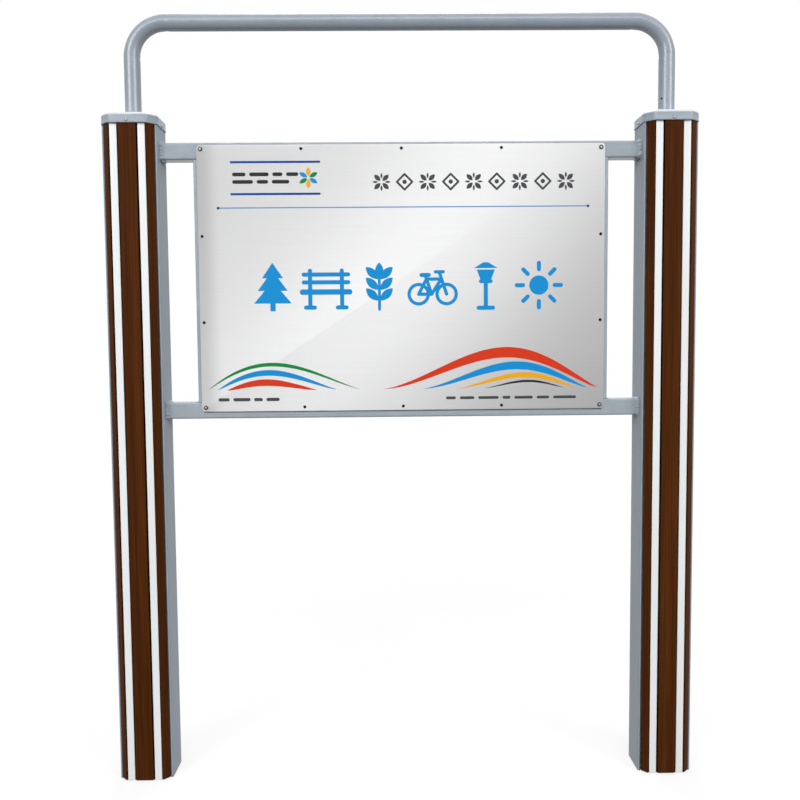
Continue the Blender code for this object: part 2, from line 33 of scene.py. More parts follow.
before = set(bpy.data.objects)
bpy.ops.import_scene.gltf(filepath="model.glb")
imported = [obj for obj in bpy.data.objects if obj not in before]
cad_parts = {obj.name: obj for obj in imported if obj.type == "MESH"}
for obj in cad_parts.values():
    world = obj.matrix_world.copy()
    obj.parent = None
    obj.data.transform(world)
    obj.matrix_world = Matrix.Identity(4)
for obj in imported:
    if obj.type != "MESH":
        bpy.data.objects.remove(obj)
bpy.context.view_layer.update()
scene = bpy.context.scene
print("frame loaded:", len(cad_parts), "nodes")


def hexColour(text):
    # an sRGB hex value turned into linear red, green, blue and full alpha
    values = np.array([int(text[i:i + 2], 16) for i in (1, 3, 5)]) / 255
    linear = np.where(values <= 0.04045, values / 12.92, ((values + 0.055) / 1.055) ** 2.4)
    return (*linear.tolist(), 1.0)


def addNode(tree, kind, inputs=None, stops=None, **settings):
    # one shader node with its settings, its socket values or links, and a ramp's stops; a hex colour is
    # turned to linear, and a node given as a value is linked by its first output, or by a colour mix's own
    node = tree.nodes.new("ShaderNode" + kind)
    for name, value in settings.items():
        setattr(node, name, value)
    for socket, value in (inputs or {}).items():
        if isinstance(value, str):
            value = hexColour(value)
        if isinstance(value, bpy.types.Node):
            value = value.outputs[2 if value.bl_idname == "ShaderNodeMix" else 0]
        if isinstance(value, bpy.types.NodeSocket):
            tree.links.new(value, node.inputs[socket])
        else:
            node.inputs[socket].default_value = value
    if stops:
        ramp = node.color_ramp.elements
        while len(ramp) < len(stops):
            ramp.new(0.5)
        for element, (position, colour) in zip(ramp, stops):
            element.position = position
            element.color = hexColour(colour)
    return node


def newMaterial(name):
    # a material with an empty node tree
    made = bpy.data.materials.new(name)
    made.use_nodes = True
    made.node_tree.nodes.clear()
    return made, made.node_tree


def finishMaterial(tree, inputs, height=None, bumpDepth=0.0, bumpStrength=1.0):
    # surface shader, with a bump in real metres where a height is given
    if height is not None:
        bump = addNode(tree, "Bump",
                       {"Height": height, "Distance": bumpDepth, "Strength": bumpStrength})
        inputs = {**inputs, "Normal": bump}
    shader = addNode(tree, "BsdfPrincipled", inputs)
    addNode(tree, "OutputMaterial", {"Surface": shader})


def objectPlace(tree):
    # a point's object coordinates in metres, under the names X, Y and Z
    place = addNode(tree, "TexCoord")
    return addNode(tree, "SeparateXYZ", {"Vector": place.outputs["Object"]}).outputs


def objectPattern(tree, millimetres, **inputs):
    # noise on object coordinates, with its real size in millimetres, one for all axes or three for X, Y and Z
    place = addNode(tree, "TexCoord")
    scale = (1000 / np.broadcast_to(millimetres, 3)).tolist()
    mapping = addNode(tree, "Mapping", {"Vector": place.outputs["Object"], "Scale": scale})
    return addNode(tree, "TexNoise", {"Vector": mapping, "Scale": 1.0, **inputs})


def joined(*axes):
    # coordinate arrays brought to one shape and stacked to points
    return np.stack(np.broadcast_arrays(*axes), -1)


def circle(count):
    # cosines and sines of equal steps once round
    angle = np.linspace(0, 2 * np.pi, count, endpoint=False)
    return np.cos(angle), np.sin(angle)


def ringGrid(rows, fillEnds=False):
    # closed skin over rings of points: neighbours are joined, and the ends are filled or joined to each other
    rows = np.asarray(rows, float)
    count, around = rows.shape[:2]
    index = np.arange(count * around).reshape(count, around)
    first, second = (index[:-1], index[1:]) if fillEnds else (index, np.roll(index, -1, 0))
    quads = np.stack([first, np.roll(first, -1, 1), np.roll(second, -1, 1), second], -1).reshape(-1, 4)
    points = rows.reshape(-1, 3)
    middle = points.mean(0)
    # signed volume: its sign tells whether the faces point outwards
    a, b, c, d = (points[quads[:, k]] - middle for k in range(4))
    volume = (np.einsum("ij,ij->i", a, np.cross(b, c)) + np.einsum("ij,ij->i", a, np.cross(c, d))).sum()
    if fillEnds:
        for ring, turn in ((rows[0] - middle, -1), (rows[-1] - middle, 1)):
            following = np.roll(ring, -1, 0)
            fan = np.einsum("ij,ij->i", ring[:1].repeat(around, 0), np.cross(ring, following))
            volume += turn * fan.sum()
    faces = quads.tolist()
    if fillEnds:
        faces += [index[0][::-1].tolist(), index[-1].tolist()]
    if volume < 0:
        faces = [face[::-1] for face in faces]
    return points, faces


def makePiece(name, shapes, material, replaced, sharpDegrees):
    # one object from several closed skins, at the origin, riding on the whole assembly
    points, faces, start = [], [], 0
    for shapePoints, shapeFaces in shapes:
        points.append(shapePoints)
        faces += [[corner + start for corner in face] for face in shapeFaces]
        start += len(shapePoints)
    mesh = bpy.data.meshes.new(name)
    mesh.from_pydata(np.concatenate(points).tolist(), [], faces)
    mesh.materials.append(material)
    mesh.shade_smooth()
    mesh.set_sharp_from_angle(angle=math.radians(sharpDegrees))
    piece = bpy.data.objects.new(name, mesh)
    scene.collection.objects.link(piece)
    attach(piece, "root")
    if replaced:
        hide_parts(*replaced)


def smoothStep(t):
    # three squares less two cubes, from 0 to 1
    t = np.clip(t, 0, 1)
    return t * t * (3 - 2 * t)


def roundedOutline(corners, steps, spans):
    # closed outline through corners given as x, y and radius: each corner is an arc that meets both its
    # sides, and each straight side is cut in equal spans; the outward directions come with it
    corners = np.asarray(corners, float)
    place, radius = corners[:, :2], corners[:, 2]
    before = np.roll(place, 1, 0) - place
    after = np.roll(place, -1, 0) - place
    before /= np.linalg.norm(before, axis=1)[:, None]
    after /= np.linalg.norm(after, axis=1)[:, None]
    half = np.arccos(np.clip(np.einsum("ij,ij->i", before, after), -1, 1)) / 2
    bisector = before + after
    bisector /= np.linalg.norm(bisector, axis=1)[:, None]
    centre = place + bisector * (radius / np.sin(half))[:, None]
    start = place + before * (radius / np.tan(half))[:, None]
    end = place + after * (radius / np.tan(half))[:, None]
    turn = np.sign(before[:, 1] * after[:, 0] - before[:, 0] * after[:, 1])[:, None]
    angle = turn * (np.pi - 2 * half)[:, None] * np.linspace(0, 1, steps + 1)
    arm = start - centre
    arc = centre[:, None] + joined(arm[:, :1] * np.cos(angle) - arm[:, 1:] * np.sin(angle),
                                   arm[:, :1] * np.sin(angle) + arm[:, 1:] * np.cos(angle))
    between = np.linspace(0, 1, spans + 1)[1:-1][None, :, None]
    side = end[:, None] + (np.roll(start, -1, 0) - end)[:, None] * between
    outline = np.concatenate([arc, side], 1).reshape(-1, 2)
    along = np.roll(outline, -1, 0) - np.roll(outline, 1, 0)
    normal = joined(along[:, 1], -along[:, 0]) / np.linalg.norm(along, axis=1)[:, None]
    area = np.sum(outline[:, 0] * np.roll(outline[:, 1], -1) - outline[:, 1] * np.roll(outline[:, 0], -1))
    return outline, normal * np.sign(area)


def boxCorners(halfWidth, halfHeight, radius):
    # the four corners of an upright rectangle, each half a width and half a height from the middle
    return [(halfWidth, -halfHeight, radius), (halfWidth, halfHeight, radius),
            (-halfWidth, halfHeight, radius), (-halfWidth, -halfHeight, radius)]


def outlineLength(outline):
    # distance along the outline at each point, and the whole way round
    step = np.linalg.norm(np.roll(outline, -1, 0) - outline, axis=1)
    return np.concatenate([[0], np.cumsum(step)[:-1]]), step.sum()


def lumps(turns, seed):
    # four slow waves of random phase added up, from -1 to 1, for hand-made unevenness along a closed way
    phases = np.random.default_rng(seed).uniform(0, 2 * np.pi, 4)
    return sum(np.sin(2 * np.pi * order * turns + phase) for order, phase in zip((2, 5, 9, 14), phases)) / 4


# materials

# for each kind of piece its light and deep tone, roughness, specular level and strength of orange peel;
# heights are above the ground
steelPaint = {"tube": ("#A0AAB3", "#98A2AB", 0.22, 0.50, 0.2),
              "beam": ("#A0AAB3", "#98A2AB", 0.22, 0.50, 0.2),
              "rail": ("#8D98A3", "#87919D", 0.32, 0.95, 0.01),
              "cap": ("#98A3AD", "#919BA5", 0.28, 0.40, 0.15),
              "column": ("#A0AAB3", "#98A2AB", 0.42, 0.16, 0.3),
              "peelMillimetres": 5.0, "peelDepth": 0.00025, "cloudMillimetres": 71.43,
              "chalk": "#D8DFE3", "chalkFrom": 1.9985, "chalkTo": 2.0050,
              "grime": "#1E2022", "grimeFrom": 1.1232, "grimeTo": 1.1266, "grimeShare": 0.9,
              "grimeBelow": 1.2, "grimeHalfWidth": 0.604, "grimeFrontY": -0.02}


def paintedSteel(kind):
    # powder coat over welded mild steel: pale blue-grey and faintly cloudy, as a thick coat is over ground
    # welds; it shines most on the rail, which is nearly smooth, and least on the columns, which have most
    # orange peel
    look = steelPaint
    light, deep, roughness, specular, peelStrength = look[kind]
    made, tree = newMaterial("powderCoated" + kind.capitalize())
    cloud = objectPattern(tree, look["cloudMillimetres"], Detail=4.0, Roughness=0.6)
    tint = addNode(tree, "ValToRGB", {"Fac": cloud}, stops=[(0.35, deep), (0.65, light)])
    if kind == "cap":
        # painted light: paler from where the shoulder turns in up to the crown, the sky's light on the top
        # painted into the colour
        place = objectPlace(tree)
        chalk = addNode(tree, "MapRange",
                        {"Value": place["Z"], "From Min": look["chalkFrom"], "From Max": look["chalkTo"]},
                        interpolation_type="SMOOTHSTEP")
        tint = addNode(tree, "Mix", {0: chalk, 6: tint, 7: look["chalk"]}, data_type="RGBA")
    if kind == "beam":
        # painted shadow, made patchy, on the lower beam's front under the board's foot, gone about 5 mm below
        # it
        place = objectPlace(tree)
        grime = addNode(tree, "MapRange", {"Value": place["Z"], "From Min": look["grimeFrom"],
                                           "From Max": look["grimeTo"], "To Max": look["grimeShare"]})
        side = addNode(tree, "Math", {0: place["X"]}, operation="ABSOLUTE")
        below, within, front = (
            addNode(tree, "Math", {0: value, 1: look[limit]}, operation="LESS_THAN")
            for value, limit in ((place["Z"], "grimeBelow"), (side, "grimeHalfWidth"),
                                 (place["Y"], "grimeFrontY")))
        patchy = addNode(tree, "MapRange", {"Value": cloud, "From Min": 0.3, "From Max": 0.6,
                                            "To Min": 0.6, "To Max": 1.0})
        for factor in (below, within, front, patchy):
            grime = addNode(tree, "Math", {0: grime, 1: factor}, operation="MULTIPLY")
        tint = addNode(tree, "Mix", {0: grime, 6: tint, 7: look["grime"]}, data_type="RGBA")
    # the real peel is about 2 mm across, and is drawn coarser here so that it shows
    peel = objectPattern(tree, look["peelMillimetres"], Detail=2.0, Roughness=0.5)
    gloss = addNode(tree, "MapRange",
                    {"Value": cloud, "From Min": 0.3, "From Max": 0.7,
                     "To Min": roughness - 0.04, "To Max": roughness + 0.06})
    finishMaterial(tree, {"Base Color": tint, "Roughness": gloss, "IOR": 1.5, "Specular IOR Level": specular},
                   peel, look["peelDepth"], peelStrength)
    return made


# the posts' place and section, in metres from each post's axis; the wood's painted shade in the joints
# follows them too
postLook = {"axisX": 0.8, "frontHalf": 0.0538, "frontY": 0.076, "centreHalf": 0.0305, "angledRun": 0.0216,
            "thickness": 0.010, "edgeRadius": 0.0016, "fineRadius": 0.0003, "tongueDepth": 0.0072,
            "centreStepIn": 0.0042, "angledStepIn": 0.0028, "angledStart": 0.0018, "stripNear": 0.0305,
            "stripFar": 0.0520, "stripRecess": 0.0036, "stripThickness": 0.0044, "stripRadius": 0.0008,
            "stripTaper": 0.002, "endInset": 0.0006, "endHeight": 0.0007, "endMargin": 0.004,
            "cornerSteps": 4, "sideSpans": 3, "heights": 9}

woodPlastic = {"dark": "#3E1D06", "middle": "#4A250A", "light": "#572D0E",
               "grainMillimetres": (2.6, 2.6, 285.7), "streakMillimetres": (16.67, 16.67, 1111),
               "streakShare": 0.35, "roughness": 0.58, "specular": 0.05,
               "groove": "#0B0604", "grooveFrom": 0.0010, "grooveTo": 0.0024}


def brownWoodPlastic():
    # extruded wood-plastic composite, brushed after extrusion: dull dark brown with a fine
    #     # upright grain of nearly even tone, and painted near black down in the joints, as the shade there
    made, tree = newMaterial("brushedWoodPlastic")
    look = woodPlastic
    # real brush marks are about 1 mm apart, and are drawn wider here so that they show
    fine = objectPattern(tree, look["grainMillimetres"], Detail=3.0, Roughness=0.65)
    broad = objectPattern(tree, look["streakMillimetres"], Detail=1.0, Roughness=0.5)
    mixed = addNode(tree, "Math", {0: broad, 1: look["streakShare"], 2: 0.0}, operation="MULTIPLY_ADD")
    grained = addNode(tree, "Math", {0: fine, 1: 1 - look["streakShare"], 2: mixed}, operation="MULTIPLY_ADD")
    tint = addNode(tree, "ValToRGB", {"Fac": grained},
                   stops=[(0.38, look["dark"]), (0.50, look["middle"]), (0.62, look["light"])])
    # depth below the face: the flat faces stand at one distance in Y, and on the faces at 45 degrees the
    # distances from the post's axis add up to one sum; the smaller depth of the two counts
    place = objectPlace(tree)
    side = addNode(tree, "Math", {0: place["X"]}, operation="ABSOLUTE")
    offset = addNode(tree, "Math", {0: side, 1: postLook["axisX"]}, operation="SUBTRACT")
    fromAxis = addNode(tree, "Math", {0: offset}, operation="ABSOLUTE")
    fromMiddle = addNode(tree, "Math", {0: place["Y"]}, operation="ABSOLUTE")
    flat = addNode(tree, "Math", {0: postLook["frontY"], 1: fromMiddle}, operation="SUBTRACT")
    total = addNode(tree, "Math", {0: fromAxis, 1: fromMiddle}, operation="ADD")
    short = addNode(tree, "Math", {0: postLook["frontHalf"] + postLook["frontY"], 1: total},
                    operation="SUBTRACT")
    slanted = addNode(tree, "Math", {0: short, 1: math.sqrt(2)}, operation="DIVIDE")
    depth = addNode(tree, "Math", {0: flat, 1: slanted}, operation="MINIMUM")
    # painted shade: the colour goes near black with the depth below the face, as in the shaded joints
    grooveShadeMask = addNode(tree, "MapRange",
                       {"Value": depth, "From Min": look["grooveFrom"], "From Max": look["grooveTo"]})
    colour = addNode(tree, "Mix", {0: grooveShadeMask, 6: tint, 7: look["groove"]}, data_type="RGBA")
    finishMaterial(tree, {"Base Color": colour, "Roughness": look["roughness"], "IOR": 1.46,
                          "Specular IOR Level": look["specular"]}, fine, 0.0006, 0.5)
    return made


coverStrip = {"light": "#F2F4F5", "deep": "#ECEDEC", "roughness": 0.38,
              "lineMillimetres": (1.111, 1.111, 500), "shadeMillimetres": (166.7, 166.7, 833.3)}


def paleStrip():
    # co-extruded white plastic cover: smooth, half gloss, with faint die lines along its length
    made, tree = newMaterial("extrudedWhitePlastic")
    lines = objectPattern(tree, coverStrip["lineMillimetres"], Detail=1.0)
    slow = objectPattern(tree, coverStrip["shadeMillimetres"], Detail=2.0)
    tint = addNode(tree, "ValToRGB", {"Fac": slow},
                   stops=[(0.3, coverStrip["deep"]), (0.6, coverStrip["light"])])
    finishMaterial(tree, {"Base Color": tint, "Roughness": coverStrip["roughness"], "IOR": 1.49},
                   lines, 0.0001, 0.4)
    return made


# the sheen's grey tones with their places as shares of its span, which runs across its bright ridge
silverFilm = {"tones": ((0.0, "#E1E1E1"), (0.26, "#EBEBEB"), (0.5167, "#FBFBFB"), (0.76, "#D4D4D4"),
                        (1.0, "#B3B3B3")), "spanFrom": -0.93, "spanTo": 0.87, "lean": 0.712, "ridge": 1.0567,
              "edge": "#E0E0E0", "edgeFrom": -0.61, "edgeTo": -0.53, "topTone": "#F4F4F4", "fadeFrom": 1.33,
              "fadeTo": 1.80, "lineMillimetres": (250, 250, 1.6), "roughness": (0.32, 0.40), "specular": 0.08}


def silverSheet():
    # satin silver film on a metal sheet: a soft diagonal sheen printed as a grey ramp,
    # darker along the left edge, with hair-fine level brush lines
    made, tree = newMaterial("satinSilverFilm")
    look = silverFilm
    place = objectPlace(tree)
    lean = addNode(tree, "Math", {0: place["Z"], 1: -look["lean"], 2: look["ridge"]},
                   operation="MULTIPLY_ADD")
    across = addNode(tree, "Math", {0: place["X"], 1: lean}, operation="ADD")
    sheen = addNode(tree, "MapRange",
                    {"Value": across, "From Min": look["spanFrom"], "From Max": look["spanTo"]})
    tint = addNode(tree, "ValToRGB", {"Fac": sheen}, stops=look["tones"])
    tint.color_ramp.interpolation = "CARDINAL"
    edge = addNode(tree, "MapRange",
                   {"Value": place["X"], "From Min": look["edgeFrom"], "From Max": look["edgeTo"]},
                   interpolation_type="SMOOTHERSTEP")
    shade = addNode(tree, "Mix", {0: edge, 6: look["edge"], 7: "#FFFFFF"}, data_type="RGBA")
    # painted shade: the film is a little darker towards the top, which evens out the light of the high lamps
    topShadeMask = addNode(tree, "MapRange",
                   {"Value": place["Z"], "From Min": look["fadeFrom"], "From Max": look["fadeTo"]})
    fade = addNode(tree, "Mix", {0: topShadeMask, 6: "#FFFFFF", 7: look["topTone"]}, data_type="RGBA")
    # real brush lines are about 0.1 mm apart, and are drawn wider here so that they show
    brushed = objectPattern(tree, look["lineMillimetres"], Detail=1.0, Roughness=0.7)
    hair = addNode(tree, "ValToRGB", {"Fac": brushed}, stops=[(0.3, "#FBFBFB"), (0.65, "#FFFFFF")])
    colour = tint
    for veil in (fade, shade, hair):
        colour = addNode(tree, "Mix", {0: 1.0, 6: colour, 7: veil}, data_type="RGBA", blend_type="MULTIPLY")
    smooth, rough = look["roughness"]
    gloss = addNode(tree, "MapRange", {"Value": brushed, "From Min": 0.3, "From Max": 0.7,
                                       "To Min": smooth, "To Max": rough})
    finishMaterial(tree, {"Base Color": colour, "Roughness": gloss, "IOR": 1.48,
                          "Specular IOR Level": look["specular"]}, brushed, 0.00004, 0.2)
    return made


# bare metals: light and deep tone, roughness, and the grain's size in millimetres
metalLook = {"millAluminium": ("#C9CBCD", "#B2B5B8", 0.36, (125, 16.67, 1.667)),
             "rivetAluminium": ("#C4C6C9", "#9A9DA1", 0.30, 2.0),
             "rivetRim": ("#5C6065", "#3E4247", 0.42, 2.0),
             "zincPlatedSteel": ("#B4B7BA", "#8A8E93", 0.24, 2.5),
             "galvanisedSteel": ("#AEB2B6", "#8A9096", 0.50, 22.22)}


def bareMetal(name, light, deep, roughness, grainMillimetres):
    # bare metal, rolled, pressed or dipped: two close tones and an uneven gloss that breaks up its gleam;
    # the sheet's grain runs along the way it was rolled, and the others have spots
    made, tree = newMaterial(name)
    grain = objectPattern(tree, grainMillimetres, Detail=3.0, Roughness=0.65)
    tint = addNode(tree, "ValToRGB", {"Fac": grain}, stops=[(0.3, deep), (0.7, light)])
    gloss = addNode(tree, "MapRange",
                    {"Value": grain, "From Min": 0.3, "From Max": 0.7,
                     "To Min": roughness - 0.06, "To Max": roughness + 0.10})
    finishMaterial(tree, {"Base Color": tint, "Roughness": gloss, "Metallic": 1.0}, grain, 0.00008, 0.4)
    return made


blackRivet = {"tone": "#070708", "worn": "#161618", "roughness": 0.48, "specular": 0.15,
              "wearMillimetres": 3.333}


def blackCoat():
    # black-coated aluminium rivet: dull, with a slightly greyer worn tone
    made, tree = newMaterial("blackCoatedAluminium")
    look = blackRivet
    wear = objectPattern(tree, look["wearMillimetres"], Detail=3.0)
    tint = addNode(tree, "ValToRGB", {"Fac": wear}, stops=[(0.4, look["tone"]), (0.8, look["worn"])])
    finishMaterial(tree, {"Base Color": tint, "Roughness": look["roughness"], "IOR": 1.5,
                          "Specular IOR Level": look["specular"]}, wear, 0.00005, 0.3)
    return made


inkLook = {"roughness": 0.42, "specular": 0.2, "mottleMillimetres": 4.545}
inkColours = {"blue": "#1191D6", "navy": "#05489A", "grey": "#464649", "green": "#07863A", "red": "#DB3A1C",
              "yellow": "#F2AE16", "black": "#272324", "rule": "#5B93C8"}


def printInk(name, colour):
    # screen-printed ink on the film: flat satin colour with a very slight mottle
    made, tree = newMaterial(name)
    mottle = objectPattern(tree, inkLook["mottleMillimetres"], Detail=2.0)
    veil = addNode(tree, "ValToRGB", {"Fac": mottle}, stops=[(0.3, "#F4F4F4"), (0.6, "#FFFFFF")])
    tint = addNode(tree, "Mix", {0: 1.0, 6: colour, 7: veil}, data_type="RGBA", blend_type="MULTIPLY")
    finishMaterial(tree, {"Base Color": tint, "Roughness": inkLook["roughness"], "IOR": 1.48,
                          "Specular IOR Level": inkLook["specular"]})
    return made


paint = paintedSteel("tube")
beamPaint = paintedSteel("beam")
railPaint = paintedSteel("rail")
capPaint = paintedSteel("cap")
columnPaint = paintedSteel("column")
plank = brownWoodPlastic()
strip = paleStrip()
film = silverSheet()
metals = {name: bareMetal(name, *values) for name, values in metalLook.items()}
black = blackCoat()
inks = {name: printInk(name + "Ink", colour) for name, colour in inkColours.items()}
print("materials made:", len(bpy.data.materials))

# the columns and foot plates keep their own shape
for name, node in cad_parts.items():
    if name.endswith(("column", "foot_plate")):
        node.data.materials.clear()
        node.data.materials.append(columnPaint if name.endswith("column") else metals["galvanisedSteel"])


# planks and cover strips

def uprightBar(name, corners, postX, facing, mirror, material, node):
    # a section in plan, given for the front right, carried from its node's foot to its top with the outline
    # drawn in a little at both ends, so that the cut ends are not knife-sharp
    low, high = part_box(node)
    step, margin, inset = (postLook[name] for name in ("endHeight", "endMargin", "endInset"))
    outline, normal = roundedOutline(corners, postLook["cornerSteps"], postLook["sideSpans"])
    z = np.concatenate([[low.z, low.z + step],
                        np.linspace(low.z + margin, high.z - margin, postLook["heights"]),
                        [high.z - step, high.z]])
    drawnIn = np.array([inset] + [0] * (len(z) - 2) + [inset])[:, None, None]
    ring = outline[None] - normal[None] * drawnIn
    rows = joined(postX + mirror * ring[..., 0], facing * ring[..., 1], z[:, None])
    makePiece(name, [ringGrid(rows, fillEnds=True)], material, [node], 40)


def dressPost(post, postX):
    # each plank has a face and, behind it, a wider tongue, so that a dark groove shows beside every strip
    look = postLook
    edge, fine, front = look["edgeRadius"], look["fineRadius"], look["frontY"]
    ledge, full = look["tongueDepth"], look["thickness"]
    tongue, back = front - ledge, front - full
    half, step = look["centreHalf"], look["centreStepIn"]
    centre = [(half - step, -front, edge), (half - step, -tongue, fine), (half, -tongue, fine),
              (half, -back, fine), (-half, -back, fine), (-half, -tongue, fine),
              (step - half, -tongue, fine), (step - half, -front, edge)]
    # angled plank: along its face and in from it, then turned by 45 degrees about the corner it starts from
    length, mitre = look["angledRun"] * math.sqrt(2), math.tan(math.radians(22.5))
    inset, start = look["angledStepIn"], look["angledStart"]
    alongIn = np.array([(start, 0), (length - inset, 0), (length - inset, ledge), (length, ledge),
                        (length, full), (mitre * full, full), (mitre * ledge, ledge),
                        (start + mitre * ledge, ledge)])
    x = look["frontHalf"] + (alongIn[:, 0] - alongIn[:, 1]) / math.sqrt(2)
    y = -front + (alongIn[:, 0] + alongIn[:, 1]) / math.sqrt(2)
    angled = joined(x, y, [edge, edge] + [fine] * 6)
    face, foot = front - look["stripRecess"], front - look["stripRecess"] - look["stripThickness"]
    near, far, corner = look["stripNear"], look["stripFar"], look["stripRadius"]
    stripCorners = [(near, -face, corner), (near, -foot, fine), (far - look["stripTaper"], -foot, fine),
                    (far, -face, corner)]
    inner = 1 if post == "left" else -1
    for side, facing in (("front", 1), ("rear", -1)):
        uprightBar(f"{post}{side.capitalize()}CentrePlank", centre, postX, facing, 1, plank,
                   f"{post}_{side}_centre_plank")
        for role, mirror in (("inner", inner), ("outer", -inner)):
            words = f"{post}{side.capitalize()}{role.capitalize()}"
            uprightBar(words + "Plank", angled, postX, facing, mirror, plank,
                       f"{post}_{side}_{role}_plank")
            uprightBar(words + "Strip", stripCorners, postX, facing, mirror, strip,
                       f"{post}_{side}_{role}_strip")


dressPost("left", -postLook["axisX"])
dressPost("right", postLook["axisX"])
print("planks and strips made")


# caps and their screws

# the hem's section is given as heights above its foot and shares of its full bulge
capLook = {"wall": 0.003, "hemFoot": 0.0022, "skirt": 0.0250, "shoulderIn": 0.0125, "shoulderUp": 0.0092,
           "crown": 0.0041, "corner": 0.026, "chamfer": 0.02913, "hem": 0.0008, "hole": 0.0243,
           "hemSection": ((0.0, 0.2), (0.0006, 0.8), (0.0016, 1.0), (0.0034, 1.0), (0.0044, 0.5),
                          (0.0052, 0.0)),
           "cornerSteps": 10, "sideSpans": 8, "shoulderRows": 12, "crownRows": 12}


def capPiece(post):
    # a closed shell. Its skirt stands on a rolled hem; above it a quarter ellipse turns in as the shoulder,
    # and the crown rises as a sine of the way to the rail's hole; then the same way back, one wall inside
    low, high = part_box(post + "_cap")
    look = capLook
    centreX = (low.x + high.x) / 2
    halfWidth, halfDepth = (high.x - low.x) / 2, (high.y - low.y) / 2

    def outline(inset, corner):
        # eight sides; 0.586 is about two less the square root of two, by which the 45 degree sides shrink
        width, depth = halfWidth - inset, halfDepth - inset
        cut = look["chamfer"] - 0.586 * inset
        corners = [(width - cut, -depth, corner), (width, cut - depth, corner), (width, depth - cut, corner),
                   (width - cut, depth, corner), (cut - width, depth, corner), (-width, depth - cut, corner),
                   (-width, cut - depth, corner), (cut - width, -depth, corner)]
        return roundedOutline(corners, look["cornerSteps"], look["sideSpans"])[0]

    def towardsHole(ring, share):
        # each point moved a share of the way, straight towards the axis, to the rim of the rail's hole
        angle = np.arctan2(ring[:, 1], ring[:, 0])
        return ring + (look["hole"] * joined(np.cos(angle), np.sin(angle)) - ring) * share

    hem, foot, skirt, corner = look["hem"], look["hemFoot"], look["skirt"], look["corner"]
    quarter = np.linspace(0, np.pi / 2, look["shoulderRows"])
    shares = np.linspace(0, 1, look["crownRows"] + 1)[1:]
    rows = [(outline(hem * (1 - bulge), corner), foot + height) for height, bulge in look["hemSection"]]
    for wall, turns, way in ((0.0, quarter, shares), (look["wall"], quarter[::-1], shares[::-1])):
        inset, base = hem + wall, skirt - wall
        shoulder = [(outline(inset + look["shoulderIn"] * (1 - math.cos(turn)), corner - wall),
                     base + look["shoulderUp"] * math.sin(turn)) for turn in turns]
        rim, top = outline(inset + look["shoulderIn"], corner - wall), base + look["shoulderUp"]
        crown = [(towardsHole(rim, share), top + look["crown"] * math.sin(share * np.pi / 2))
                 for share in way]
        rows += crown + shoulder if wall else shoulder + crown
    rows += [(outline(hem + look["wall"], corner - look["wall"]), foot)]
    grid = np.stack([joined(ring[:, 0], ring[:, 1], height) for ring, height in rows])
    makePiece(post + "CapShell", [ringGrid(grid + (centreX, 0, low.z))], capPaint, [post + "_cap"],
              50)


screwLook = {"radius": 0.0048, "height": 0.0028, "recess": 0.0019, "slot": 0.0010, "slotReach": 0.0030,
             "shankShare": 0.42, "shankLength": 0.012, "firstTwist": 0.4, "twistStep": 0.7}


def screwHead(centre, outward, twist):
    # a dome over a disc, pressed in by a cross: each point's height is the dome's less the recess where
    # the point lies in either arm of the cross
    look = screwLook
    radius = look["radius"]
    share = np.concatenate([[0.02], np.linspace(0.12, 0.92, 11), [0.98, 1.0]])[:, None]
    across, up = (radius * share * wave for wave in circle(48))
    dome = look["height"] * (0.07 + 0.93 * np.sqrt(np.clip(1 - share ** 2.6, 0, 1)))
    armU = np.abs(across * math.cos(twist) + up * math.sin(twist))
    armV = np.abs(up * math.cos(twist) - across * math.sin(twist))
    inCross = (np.minimum(armU, armV) < look["slot"]) & (np.maximum(armU, armV) < look["slotReach"])
    dome = dome - look["recess"] * inCross
    upward = np.array((0, 0, 1.0))
    side = np.cross(outward, upward)
    rows = centre + across[..., None] * side + up[..., None] * upward + dome[..., None] * outward
    under = rows[-1:] - outward * dome[-1:, :, None]
    shank = centre + look["shankShare"] * (under - centre)
    end = shank - look["shankLength"] * outward
    return ringGrid(np.concatenate([rows, under, shank, end]), fillEnds=True)


def capScrews(post):
    # one screw in each of four sides, its dome's top at the outer end of its node
    capLow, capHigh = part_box(post + "_cap")
    directions = {"front": (0, -1, 0), "rear": (0, 1, 0), "inner": None, "outer": None}
    for order, (role, outward) in enumerate(directions.items()):
        node = f"{post}_cap_screw_{role}"
        low, high = (np.array(corner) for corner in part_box(node))
        middle = (low + high) / 2
        if outward is None:
            outward = (1 if middle[0] > (capLow.x + capHigh.x) / 2 else -1, 0, 0)
        outward = np.array(outward, float)
        tip = high if outward.sum() > 0 else low
        seat = middle * (1 - np.abs(outward)) + (tip - outward * screwLook["height"]) * np.abs(outward)
        twist = screwLook["firstTwist"] + screwLook["twistStep"] * order
        makePiece(f"{post}CapScrew{role.capitalize()}", [screwHead(seat, outward, twist)],
                  metals["zincPlatedSteel"], [node], 40)


for post in ("left", "right"):
    capPiece(post)
    capScrews(post)
print("caps and screws made")


# rail

railLook = {"legX": 0.8, "radius": 0.024, "bendRadius": 0.100, "flattening": 0.045, "strainReach": 0.035,
            "wrinkle": 0.0011, "wrinkleReach": 0.005, "wrinkleFromBend": 0.004, "beadHeight": 0.0045,
            "beadWidth": 0.0045, "ripples": 17, "rippleShare": 0.10, "lumpShare": 0.06, "around": 72}


